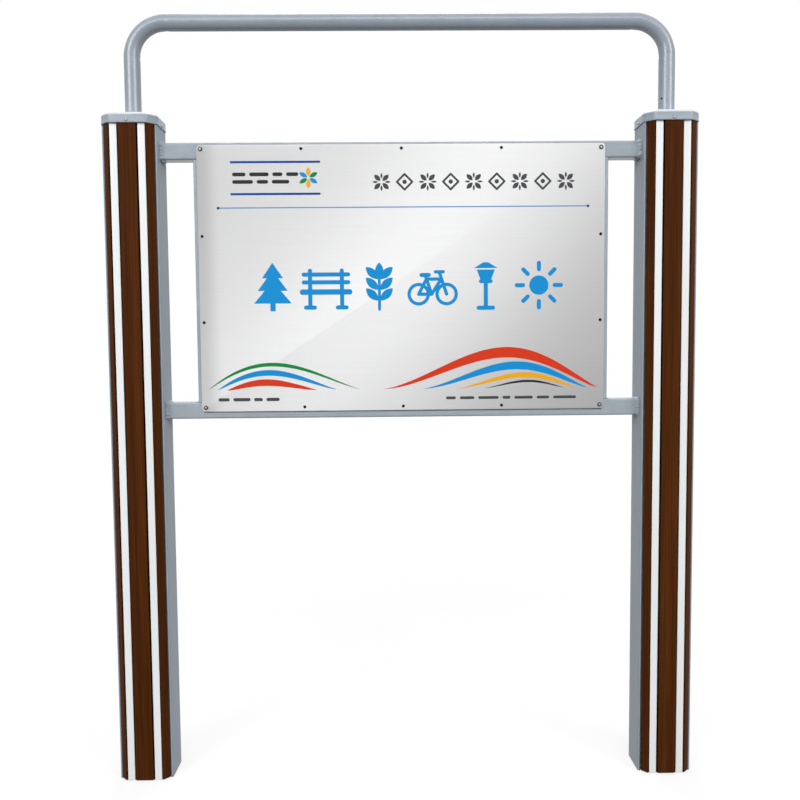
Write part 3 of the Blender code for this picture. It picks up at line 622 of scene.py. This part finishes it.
def railPiece():
    # a circle carried along leg, quarter bend, run, quarter bend, leg. In a bend the outer side is drawn in
    # over a plateau with smooth ends, and a bell-shaped wrinkle marks the inner side at each end of the bend.
    # At each foot a weld bead stands off the tube, widest at the cap and rounded off above, with ripples
    low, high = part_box("top_rail")
    look = railLook
    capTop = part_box("left_cap")[0].z + capLook["skirt"] + capLook["shoulderUp"] + capLook["crown"]
    radius, bendRadius, legX = look["radius"], look["bendRadius"], look["legX"]
    top = high.z - radius
    straight = top - bendRadius
    legZ = np.concatenate([[low.z, capTop], capTop + look["beadHeight"] * np.linspace(0.02, 1.3, 12),
                           np.linspace(capTop + 0.02, straight - 0.02, 10),
                           straight - np.linspace(0.017, 0.002, 6)])
    bend = np.linspace(0, np.pi / 2, 47)
    runX = np.concatenate([np.linspace(0.002, 0.02, 7), np.linspace(0.04, legX - bendRadius, 16)])
    # first half of the path, as x, z and the heading's turn from straight up
    x = np.concatenate([np.full(len(legZ), -legX), -(legX - bendRadius) - bendRadius * np.cos(bend),
                        -(legX - bendRadius) + runX])
    z = np.concatenate([legZ, straight + bendRadius * np.sin(bend), np.full(len(runX), top)])
    turn = np.concatenate([np.zeros(len(legZ)), bend, np.full(len(runX), np.pi / 2)])
    # distance from the bend's start along the path
    way = np.concatenate([legZ - straight, bendRadius * bend, bendRadius * np.pi / 2 + runX])
    x, z = np.concatenate([x, -x[-2::-1]]), np.concatenate([z, z[-2::-1]])
    turn, way = np.concatenate([turn, np.pi - turn[-2::-1]]), np.concatenate([way, way[-2::-1]])
    bendLength = bendRadius * np.pi / 2
    strainReach, beyond = look["strainReach"], look["wrinkleFromBend"]
    strain = (smoothStep(way / strainReach) * smoothStep((bendLength - way) / strainReach))[:, None]
    bells = sum(np.exp(-((way - at) / look["wrinkleReach"]) ** 2) for at in (-beyond, bendLength + beyond))
    bells = bells[:, None]
    angle = np.linspace(0, 2 * np.pi, look["around"], endpoint=False)
    cosine, sine = np.cos(angle)[None], np.sin(angle)[None]
    height = (z[:, None] - capTop) / look["beadHeight"]
    arch = np.sqrt(np.clip(1 - np.clip(height, 0, 1) ** 1.7, 0, 1)) * (height > 0)
    ripple = (1 - look["rippleShare"] - look["lumpShare"]
              + look["rippleShare"] * np.sin(look["ripples"] * angle + 2.2 * height)
              + look["lumpShare"] * lumps(angle / 2 / np.pi, 4))
    swell = 1 + look["beadWidth"] / radius * arch * ripple
    squeeze = look["flattening"] * strain
    # the outer side of the bend is where the cosine is positive
    outward = radius * cosine * np.where(cosine > 0, 1 - squeeze, 1 - 0.5 * squeeze) * swell
    outward = outward + look["wrinkle"] * bells * np.clip(-cosine, 0, 1) ** 2
    sideways = radius * sine * (1 + 0.1 * squeeze) * swell - 0.4 * look["wrinkle"] * bells * sine
    rows = joined(x[:, None] - np.cos(turn)[:, None] * outward, sideways,
                  z[:, None] + np.sin(turn)[:, None] * outward)
    makePiece("railTube", [ringGrid(rows, fillEnds=True)], railPaint, ["top_rail"], 60)


railPiece()
print("rail made")


# beams and uprights

tubeLook = {"corner": 0.005, "cornerSteps": 7, "sideSpans": 14, "beamBead": 0.0055, "beadReach": 0.0120,
            "lumpPitch": 0.0095, "ripplePitch": 0.0042, "uprightFillet": 0.008, "filletRipple": 0.09}


def beamPiece(name, node, seed):
    # a rounded square carried along x; towards each end it swells by a power of the distance left to the
    # weld's toe, times the weld's lumps and ripples along the outline
    low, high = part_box(node)
    bead, reach = tubeLook["beamBead"], tubeLook["beadReach"]
    half = (high.z - low.z) / 2 - bead
    middleZ = (high.z + low.z) / 2
    ring, normal = roundedOutline(boxCorners(half, half, tubeLook["corner"]), tubeLook["cornerSteps"],
                                  tubeLook["sideSpans"])
    along, total = outlineLength(ring)
    near = np.concatenate([np.linspace(0, 1, 16) * reach * 1.05, [0.016, 0.03, 0.12, 0.3]])
    x = np.concatenate([low.x + near, high.x - near[::-1]])
    distance = np.concatenate([near, near[::-1]])[:, None]
    end = np.concatenate([np.zeros(len(near)), np.ones(len(near))])[:, None]
    corner = (np.abs(ring[:, 0] * ring[:, 1]) / half ** 2) ** 3
    lump = (0.42 + 0.30 * corner + 0.22 * np.sin(2 * np.pi * along / tubeLook["lumpPitch"] + 2 * end)
            + 0.06 * np.sin(2 * np.pi * along / tubeLook["ripplePitch"])
            + 0.45 * np.where(end > 0, lumps(along / total, seed), lumps(along / total, seed + 50)))
    lump = np.clip(lump, 0.1, 1)
    remaining = np.clip(1 - distance / (reach * (0.35 + 0.65 * lump)), 0, 1)
    swell = bead * lump * remaining ** 0.7
    across = ring[None, :, 0] + normal[None, :, 0] * swell
    upward = ring[None, :, 1] + normal[None, :, 1] * swell
    rows = joined(x[:, None], across, middleZ + upward)
    makePiece(name, [ringGrid(rows, fillEnds=True)], beamPaint, [node], 50)


def uprightPiece(name, node):
    # a rounded square carried up z; its two flanks sweep out at both ends in a hollow quarter circle,
    # which is the ground weld, with a faint ripple left in it
    low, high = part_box(node)
    fillet = tubeLook["uprightFillet"]
    half = (high.y - low.y) / 2
    middleX = (high.x + low.x) / 2
    ring, normal = roundedOutline(boxCorners(half, half, tubeLook["corner"]), tubeLook["cornerSteps"],
                                  tubeLook["sideSpans"])
    turn = np.linspace(0, np.pi / 2, 10)
    near = np.concatenate([fillet * (1 - np.cos(turn)), [0.02, 0.1, 0.3]])
    reach = np.concatenate([fillet * (1 - np.sin(turn)), [0, 0, 0]])
    z = np.concatenate([low.z + near, high.z - near[::-1]])
    spread = np.concatenate([reach, reach[::-1]])[:, None]
    ripple = 1 + np.sin(2 * np.pi * ring[None, :, 1] / tubeLook["ripplePitch"])
    uneven = 1 - tubeLook["filletRipple"] * ripple * (spread / fillet) ** 0.5
    across = ring[None, :, 0] + normal[None, :, 0] * spread * uneven
    rows = joined(middleX + across, ring[None, :, 1], z[:, None])
    makePiece(name, [ringGrid(rows, fillEnds=True)], paint, [node], 50)


beamPiece("upperBeamTube", "upper_beam", 11)
beamPiece("lowerBeamTube", "lower_beam", 12)
uprightPiece("leftUprightTube", "left_upright")
uprightPiece("rightUprightTube", "right_upright")
print("frame of the board made")


# board and rivets

boardLook = {"corner": 0.010, "edge": 0.0004, "filmDepth": 0.0005, "behindFilm": 0.00002, "cornerSteps": 10,
             "sideSpans": 24}


def boardPieces():
    # film and metal sheet are two closed plates, one behind the other: each is a rounded rectangle
    # carried through its thickness, drawn in a little at its outer edges
    low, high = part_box("board_panel")
    centreX, centreZ = (low.x + high.x) / 2, (low.z + high.z) / 2
    halfWidth, halfHeight = (high.x - low.x) / 2, (high.z - low.z) / 2
    edge, middle = boardLook["edge"], low.y + boardLook["filmDepth"]

    def plate(stations):
        # stations are depths in Y, each with how far the outline is drawn in there
        rows = []
        for y, inset in stations:
            corners = boxCorners(halfWidth - inset, halfHeight - inset, boardLook["corner"] - inset)
            ring = roundedOutline(corners, boardLook["cornerSteps"], boardLook["sideSpans"])[0]
            rows.append(joined(centreX + ring[:, 0], y, centreZ + ring[:, 1]))
        return ringGrid(np.stack(rows), fillEnds=True)

    makePiece("boardFilm", [plate([(low.y, edge), (low.y + 0.3 * edge, 0.3 * edge), (middle, 0)])], film,
              ["board_panel"], 30)
    sheetFront = middle + boardLook["behindFilm"]
    makePiece("boardSheet", [plate([(sheetFront, 0), (high.y - edge, 0), (high.y, edge)])],
              metals["millAluminium"], [], 30)


# heights of the flange are in metres; the well, stem and pin are shares of the flange's radius
rivetLook = {"spread": 1.12, "cornerTall": 0.003, "edgeTall": 0.0018, "cornerWell": 0.46,
             "edgeWell": 0.34, "stem": 0.38, "stemLength": 0.004, "offBoard": 0.0002, "pinShare": 0.9,
             "pinTop": 0.72, "pinFoot": 0.32}


def turnedPiece(name, centre, outward, profile, around, material, node, sharpDegrees):
    # a profile of radius and height, turned about the level direction in which the piece stands out
    radius, height = np.array(profile, float).T[:, :, None]
    cosine, sine = circle(around)
    rows = joined(centre[0] - radius * cosine * outward[1] + height * outward[0],
                  centre[1] + radius * cosine * outward[0] + height * outward[1], centre[2] + radius * sine)
    makePiece(name, [ringGrid(rows, fillEnds=True)], material, node, sharpDegrees)


def rivetPieces():
    # flange: a low dome with a rolled rim and a round well; pin: the broken mandrel, set down in the well
    look = rivetLook
    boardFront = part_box("board_panel")[0].y
    for node in sorted(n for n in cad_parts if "rivet" in n):
        low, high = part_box(node)
        centre = ((low.x + high.x) / 2, boardFront, (low.z + high.z) / 2)
        corner = "corner" in node
        kind, slotName = ("corner", "rivet_steel") if corner else ("edge", "dark_rivet")
        radius = (high.x - low.x) / 2 * look["spread"]
        tall, well = look[kind + "Tall"], look[kind + "Well"]
        stem, seat, end = look["stem"] * radius, look["offBoard"], -look["stemLength"]
        top = [(radius * (well + (0.98 - well) * math.sin(turn)),
                seat + tall * (0.25 + 0.72 * math.cos(turn))) for turn in np.linspace(0, np.pi / 2, 9)]
        dish = [(0.05 * radius, 0.3 * tall), (well * radius, 0.3 * tall), (well * radius * 1.02, 0.9 * tall)]
        under = [(radius, 0.16 * tall), (radius, seat), (stem, seat), (stem, end), (0.05 * radius, end)]
        words = "".join(part.capitalize() for part in node.split("_"))
        turnedPiece("flange" + words, centre, (0, -1), dish + top + under, 40,
                    metals["rivetRim"] if corner else black, [node], 45)
        pinTop, pinFoot, pin = look["pinTop"] * tall, look["pinFoot"] * tall, well * look["pinShare"]
        profile = [(0.02 * radius, pinTop), (pin * radius * 0.8, pinTop),
                   (pin * radius, pinTop - 0.12 * tall), (pin * radius, pinFoot), (0.02 * radius, pinFoot)]
        turnedPiece("pin" + words, centre, (0, -1), profile, 40,
                    metals["rivetAluminium"] if corner else black, [], 45)


boardPieces()
rivetPieces()
print("board and rivets made")


# print on the board

printLook = {"thickness": 0.00006, "back": 0.00001, "layerStep": 0.000004, "icon": 0.145, "stroke": 0.0125}
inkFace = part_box("board_panel")[0].y


def inkPlate(outline):
    # a flat outline in x and z, carried through the ink's thickness
    outline = np.asarray(outline, float)
    rows = [joined(outline[:, 0], inkFace - depth, outline[:, 1])
            for depth in (printLook["back"], printLook["thickness"])]
    return ringGrid(np.stack(rows), fillEnds=True)


def printPiece(name, shapes, ink):
    # each shape of a print lies one thin layer in front of the one before, so none share a plane
    for layer, shape in enumerate(shapes):
        shape[0][:, 1] -= layer * printLook["layerStep"]
    makePiece(name + "Print", shapes, inks[ink], [], 30)


def inkRing(centre, radius, width):
    # a full circular stroke: outer and inner circle, each at both depths
    cosine, sine = circle(72)
    back, front = printLook["back"], printLook["thickness"]
    outer, inner = radius + width / 2, radius - width / 2
    rows = [joined(centre[0] + reach * cosine, inkFace - depth, centre[1] + reach * sine)
            for reach, depth in ((outer, back), (outer, front), (inner, front), (inner, back))]
    return ringGrid(np.stack(rows))


def disc(centre, radius):
    # a filled circle
    return inkPlate(joined(*(middle + radius * wave for middle, wave in zip(centre, circle(48)))))


def bar(start, end, width):
    # a straight stroke with half-round ends
    start, end = np.array(start, float), np.array(end, float)
    heading = math.atan2(*(end - start)[::-1])
    turn = np.linspace(-np.pi / 2, np.pi / 2, 13)
    ends = [point + width / 2 * joined(np.cos(turn + base), np.sin(turn + base))
            for point, base in ((end, heading), (start, heading + np.pi))]
    return inkPlate(np.concatenate(ends))


def bars(z, start, widths, gap, thickness):
    # a row of strokes of given widths with equal gaps, from a starting x
    starts = start + np.concatenate([[0], np.cumsum(np.array(widths) + gap)[:-1]])
    half = thickness / 2
    return [bar((left + half, z), (left + width - half, z), thickness) for left, width in zip(starts, widths)]


def petal(centre, reach, belly, degrees, offset=0.0):
    # pointed oval: its half width is a power of a sine along its length, and offset moves it out along itself
    share = np.linspace(0, 1, 25)
    half = belly / 2 * np.sin(np.pi * share) ** 0.8
    along = np.concatenate([share, share[-2:0:-1]]) * reach + offset
    across = np.concatenate([half, -half[-2:0:-1]])
    c, s = math.cos(math.radians(degrees)), math.sin(math.radians(degrees))
    return inkPlate(joined(along * c - across * s, along * s + across * c) + np.asarray(centre))


def hill(left, right, base, tall, thickness, lean):
    # crescent: its top is a power of a sine over a skewed share of the width, and its underside is the
    # same less a thickness that fades out at both ends
    share = np.linspace(0, 1, 121)
    x = left + (right - left) * share
    wave = np.sin(np.pi * share ** lean)
    top = base + tall * wave ** 1.15
    bottom = top - thickness * wave ** 0.8
    return inkPlate(np.concatenate([joined(x, top), joined(x, bottom)[-2:0:-1]]))


def iconShapes(kind, centre):
    # six plain park pictograms, drawn in a square from -1 to 1 and then sized: at gives a place on the
    # board, poly a filled shape and line a stroke with round ends
    half, stroke = printLook["icon"] / 2, printLook["stroke"]

    def at(x, z):
        return (centre[0] + x * half, centre[1] + z * half)

    def poly(*points):
        return inkPlate(np.asarray(points, float) * half + np.asarray(centre))

    def line(x0, z0, x1, z1, weight=1.0):
        return bar(at(x0, z0), at(x1, z1), stroke * weight)

    if kind == "sun":
        rays = [line(0.66 * math.cos(a), 0.66 * math.sin(a), 0.92 * math.cos(a), 0.92 * math.sin(a))
                for a in np.radians(np.arange(0, 360, 45))]
        return [disc(centre, 0.40 * half)] + rays
    if kind == "tree":
        return [poly((0, 1), (0.44, 0.36), (0.24, 0.36), (0.62, -0.16), (0.34, -0.16), (0.78, -0.68),
                     (0.11, -0.68), (0.11, -1), (-0.11, -1), (-0.11, -0.68), (-0.78, -0.68), (-0.34, -0.16),
                     (-0.62, -0.16), (-0.24, 0.36), (-0.44, 0.36))]
    if kind == "bench":
        return [line(-0.92, 0.50, 0.92, 0.50), line(-0.92, 0.18, 0.92, 0.18),
                line(-0.98, -0.22, 0.98, -0.22, 1.3), line(-0.66, 0.66, -0.66, -0.84),
                line(0.66, 0.66, 0.66, -0.84), line(-0.84, -0.86, -0.48, -0.86),
                line(0.48, -0.86, 0.84, -0.86)]
    if kind == "bicycle":
        return [inkRing(at(-0.58, -0.34), 0.40 * half, stroke * 0.8),
                inkRing(at(0.58, -0.34), 0.40 * half, stroke * 0.8),
                line(-0.58, -0.34, -0.26, 0.28, 0.8), line(-0.58, -0.34, -0.04, -0.34, 0.8),
                line(-0.04, -0.34, -0.30, 0.42, 0.8), line(-0.04, -0.34, 0.36, 0.28, 0.8),
                line(-0.26, 0.28, 0.38, 0.28, 0.8), line(0.58, -0.34, 0.28, 0.56, 0.8),
                line(0.12, 0.58, 0.44, 0.58, 0.8), line(-0.46, 0.45, -0.16, 0.45, 1.0)]
    if kind == "sprig":
        leaves = [petal(at(0, -0.62 + 0.44 * step), 0.72 * half, 0.34 * half, 90 + side * 46, 0.05 * half)
                  for step in range(3) for side in (-1, 1)]
        return [line(0, -0.95, 0, 0.36, 0.7)] + leaves + [petal(at(0, 0.34), 0.64 * half, 0.34 * half, 90)]
    # a lamp on a column: lantern panes, roof, foot
    return [line(0, -0.86, 0, 0.16), line(-0.30, -0.92, 0.30, -0.92), line(-0.20, 0.18, 0.20, 0.18),
            poly((-0.22, 0.24), (0.22, 0.24), (0.38, 0.66), (-0.38, 0.66)),
            poly((-0.50, 0.72), (0.50, 0.72), (0.10, 0.96), (-0.10, 0.96))]


# places of the print in metres, across from the board's middle and up from the ground
printPlan = {"iconStart": -0.390, "iconEnd": 0.412, "iconZ": 1.5025, "ruleZ": 1.7378,
             "ruleEnds": (-0.5487, 0.5592), "ruleWidth": 0.0034, "ruleDot": 0.0042,
             "shortLineZ": (1.8725, 1.7785), "shortLineEnds": (-0.508, -0.245), "shortLineWidth": 0.0066,
             "labelZ": 1.8255, "labelStart": -0.505, "labelStep": 0.011,
             "labelUpper": (0.040, 0.058, 0.030, 0.036), "labelLower": (0.062, 0.034, 0.052),
             "flowerX": -0.278, "headingZ": 1.8120, "headingStart": -0.060, "headingPitch": 0.0690,
             "diamondReach": 0.023, "footnoteZ": 1.1640, "footnoteLeft": (0.034, 0.052, 0.026, 0.040),
             "footnoteRight": (0.030, 0.044, 0.062, 0.024, 0.056, 0.038, 0.070), "hillZ": 1.1930}

# each hill arc: side, ink, left and right end, height, thickness and lean
hillArcs = (("right", "red", -0.060, 0.592, 0.124, 0.032, 1.25),
            ("right", "blue", 0.060, 0.560, 0.080, 0.024, 1.22),
            ("right", "yellow", 0.165, 0.528, 0.047, 0.015, 1.18),
            ("right", "black", 0.245, 0.490, 0.024, 0.007, 1.14),
            ("left", "green", -0.590, -0.130, 0.082, 0.011, 0.80),
            ("left", "blue", -0.562, -0.200, 0.060, 0.017, 0.82),
            ("left", "red", -0.532, -0.262, 0.032, 0.020, 0.84))


def printOnBoard():
    # every print in its place, with one ink for each piece
    plan = printPlan
    for kind, x in zip(("tree", "bench", "sprig", "bicycle", "lamp", "sun"),
                       np.linspace(plan["iconStart"], plan["iconEnd"], 6)):
        printPiece(kind, iconShapes(kind, (x, plan["iconZ"])), "blue")
    ends = [(x, plan["ruleZ"]) for x in plan["ruleEnds"]]
    printPiece("rule", [bar(*ends, plan["ruleWidth"])], "rule")
    printPiece("ruleEnds", [disc(end, plan["ruleDot"]) for end in ends], "navy")
    left, right = plan["shortLineEnds"]
    printPiece("shortLines", [bar((left, z), (right, z), plan["shortLineWidth"]) for z in plan["shortLineZ"]],
               "navy")
    # label between the short lines: two rows of strokes, and a small flower in three inks at their right
    step = plan["labelStep"]
    label = bars(plan["labelZ"] + step, plan["labelStart"], plan["labelUpper"], step, step)
    label += bars(plan["labelZ"] - step, plan["labelStart"], plan["labelLower"], step, step)
    printPiece("label", label, "black")
    flower = (plan["flowerX"], plan["labelZ"])
    for order, ink in enumerate(("green", "yellow", "blue")):
        pair = [petal(flower, 0.027, 0.013, 30 + 60 * order + 180 * side, 0.004) for side in (0, 1)]
        printPiece(ink + "Petals", pair, ink)
    # heading: a frieze of diamonds and flowers of four broad and four narrow petals
    for order in range(9):
        middle = (plan["headingStart"] + plan["headingPitch"] * order, plan["headingZ"])
        if order % 2:
            reach = plan["diamondReach"]
            tips = [(middle[0] + reach * math.cos(turn), middle[1] + reach * math.sin(turn))
                    for turn in np.arange(5) * np.pi / 2]
            diamond = [bar(start, end, 0.0062) for start, end in zip(tips, tips[1:])]
            printPiece(f"headingDiamond{order}", diamond + [disc(middle, 0.0065)], "grey")
        else:
            broad = [petal(middle, 0.025, 0.0135, 45 + 90 * side, 0.005) for side in range(4)]
            narrow = [petal(middle, 0.017, 0.006, 90 * side, 0.010) for side in range(4)]
            printPiece(f"headingFlower{order}", broad + narrow, "grey")
    printPiece("footnote", bars(plan["footnoteZ"], -0.560, plan["footnoteLeft"], 0.011, 0.0100)
               + bars(plan["footnoteZ"], 0.130, plan["footnoteRight"], 0.012, 0.0085), "grey")
    for side, ink, left, right, tall, thickness, lean in hillArcs:
        arc = hill(left, right, plan["hillZ"], tall, thickness, lean)
        printPiece(f"{side}{ink.capitalize()}Hill", [arc], ink)


printOnBoard()
print("print made")


# drain hole

ventLook = {"x": 0.781, "z": 2.056, "radius": 0.0032}


def ventHole():
    # small drain hole in the right leg of the rail: painted shade, a black plug standing in for the dark
    # inside of the hole, its face dished below a thin rim
    radius, across = ventLook["radius"], ventLook["x"] - railLook["legX"]
    surface = -math.sqrt(railLook["radius"] ** 2 - across ** 2)
    outward = np.array([across, surface]) / railLook["radius"]
    profile = [(0.04 * radius, 0.0002), (0.6 * radius, 0.0002), (0.85 * radius, 0.0004), (radius, 0.0001),
               (radius, -0.0012), (0.04 * radius, -0.0012)]
    turnedPiece("railVent", (ventLook["x"], surface, ventLook["z"]), outward, profile, 24, black, [],
                30)


ventHole()
print("drain hole made")


# stage, light and camera

stageLook = {"floor": "#F8F8F7", "floorHalf": 30, "floorZ": -0.0005, "shadowShare": 0.30, "shadowFrom": 1.0,
             "shadowTo": 3.2, "underLight": 0.10, "horizonLight": 0.03, "zenithLight": 0.98, "aimHeight": 1.1}


def seenDirectly(tree):
    # 1 for camera, glossy and transmission rays, which see the plain pale stage
    rays = addNode(tree, "LightPath")
    seen = rays.outputs["Is Camera Ray"]
    for ray in ("Is Glossy Ray", "Is Transmission Ray"):
        seen = addNode(tree, "Math", {0: seen, 1: rays.outputs[ray]}, operation="MAXIMUM")
    return seen


def studioFloor():
    # pale floor: seen directly it is near white with the object's soft shadow, while the light it throws
    # back stays low, as from open ground
    half, level = stageLook["floorHalf"], stageLook["floorZ"]
    mesh = bpy.data.meshes.new("studioFloor")
    mesh.from_pydata([(x, y, level) for x, y in ((-half, -half), (half, -half), (half, half), (-half, half))],
                     [], [(0, 1, 2, 3)])
    floor = bpy.data.objects.new("studioFloor", mesh)
    scene.collection.objects.link(floor)
    made, tree = newMaterial("studioFloor")
    bounce = addNode(tree, "BsdfDiffuse", {"Color": (stageLook["underLight"],) * 3 + (1,)})
    shadowed = addNode(tree, "BsdfDiffuse", {"Color": stageLook["floor"]})
    white = addNode(tree, "Emission", {"Color": (1, 1, 1, 1), "Strength": 1.0})
    place = addNode(tree, "TexCoord")
    distance = addNode(tree, "VectorMath", {0: place.outputs["Object"]}, operation="LENGTH")
    # the shadow is at its full share near the object and fades out with the distance from it
    fade = addNode(tree, "MapRange",
                   {"Value": distance.outputs["Value"], "From Min": stageLook["shadowFrom"],
                    "From Max": stageLook["shadowTo"], "To Min": 1 - stageLook["shadowShare"], "To Max": 1.0},
                   interpolation_type="SMOOTHSTEP")
    pale = addNode(tree, "MixShader", {0: fade, 1: shadowed, 2: white})
    mixed = addNode(tree, "MixShader", {0: seenDirectly(tree), 1: bounce, 2: pale})
    addNode(tree, "OutputMaterial", {"Surface": mixed})
    mesh.materials.append(made)


def studioWorld():
    # white to the camera and to reflections; as light it is a soft sky, brighter overhead than at the horizon
    world = bpy.data.worlds.new("studioWorld")
    scene.world = world
    world.use_nodes = True
    tree = world.node_tree
    tree.nodes.clear()
    place = addNode(tree, "TexCoord")
    split = addNode(tree, "SeparateXYZ", {"Vector": place.outputs["Generated"]})
    strength = addNode(tree, "MapRange",
                       {"Value": split.outputs["Z"], "From Min": 0.0, "From Max": 1.0,
                        "To Min": stageLook["horizonLight"], "To Max": stageLook["zenithLight"]})
    light = addNode(tree, "Background", {"Color": (0.98, 0.99, 1, 1), "Strength": strength})
    white = addNode(tree, "Background", {"Color": (1, 1, 1, 1), "Strength": 1.0})
    mixed = addNode(tree, "MixShader", {0: seenDirectly(tree), 1: light, 2: white})
    addNode(tree, "OutputWorld", {"Surface": mixed})


# each lamp: degrees round from the front and up, distance, width, height and power
softBoxes = {"left": (-36, 22, 12.0, 4.8, 5.2, 576), "right": (46, 22, 12.0, 4.4, 5.2, 506),
             "top": (0, 40, 14.0, 10.0, 3.4, 450), "rear": (180, 58, 6.0, 3.0, 1.6, 80)}


def softBox(name, azimuth, elevation, distance, width, height, power):
    # area lamp aimed near the middle of the whole notice board; azimuth is from the front, positive right
    target = np.array([0, 0, stageLook["aimHeight"]])
    a, e = math.radians(azimuth), math.radians(elevation)
    direction = np.array([math.sin(a) * math.cos(e), -math.cos(a) * math.cos(e), math.sin(e)])
    lamp = bpy.data.lights.new(name + "SoftBox", "AREA")
    lamp.shape = "RECTANGLE"
    lamp.size, lamp.size_y, lamp.energy = width, height, power
    holder = bpy.data.objects.new(name + "SoftBox", lamp)
    holder.location = target + distance * direction
    holder.rotation_euler = Vector(-direction).to_track_quat("-Z", "Y").to_euler()
    scene.collection.objects.link(holder)


cameraLook = {"place": (-0.0409, -2.604, 1.3268), "lens": 38.25, "sensor": 36, "yaw": 0.0120, "pitch": 0.0651,
              "roll": 0.0082}


def photoCamera():
    # turned by yaw, pitch and roll in radians, from looking level along +Y
    yaw, pitch, roll = (cameraLook[name] for name in ("yaw", "pitch", "roll"))
    forward = np.array([math.sin(yaw) * math.cos(pitch), math.cos(yaw) * math.cos(pitch), -math.sin(pitch)])
    right = np.array([math.cos(yaw), -math.sin(yaw), 0])
    down = np.cross(forward, right)
    across = math.cos(roll) * right + math.sin(roll) * down
    below = -math.sin(roll) * right + math.cos(roll) * down
    lens = bpy.data.cameras.new("photoCamera")
    lens.lens, lens.sensor_width = cameraLook["lens"], cameraLook["sensor"]
    lens.clip_start, lens.clip_end = 0.05, 200
    camera = bpy.data.objects.new("photoCamera", lens)
    turned = np.eye(4)
    turned[:3, 0], turned[:3, 1], turned[:3, 2], turned[:3, 3] = across, -below, -forward, cameraLook["place"]
    camera.matrix_world = Matrix(turned.tolist())
    scene.collection.objects.link(camera)
    scene.camera = camera


studioFloor()
studioWorld()
for name, values in softBoxes.items():
    softBox(name, *values)
photoCamera()
scene.view_settings.view_transform = "Standard"
print("stage ready")
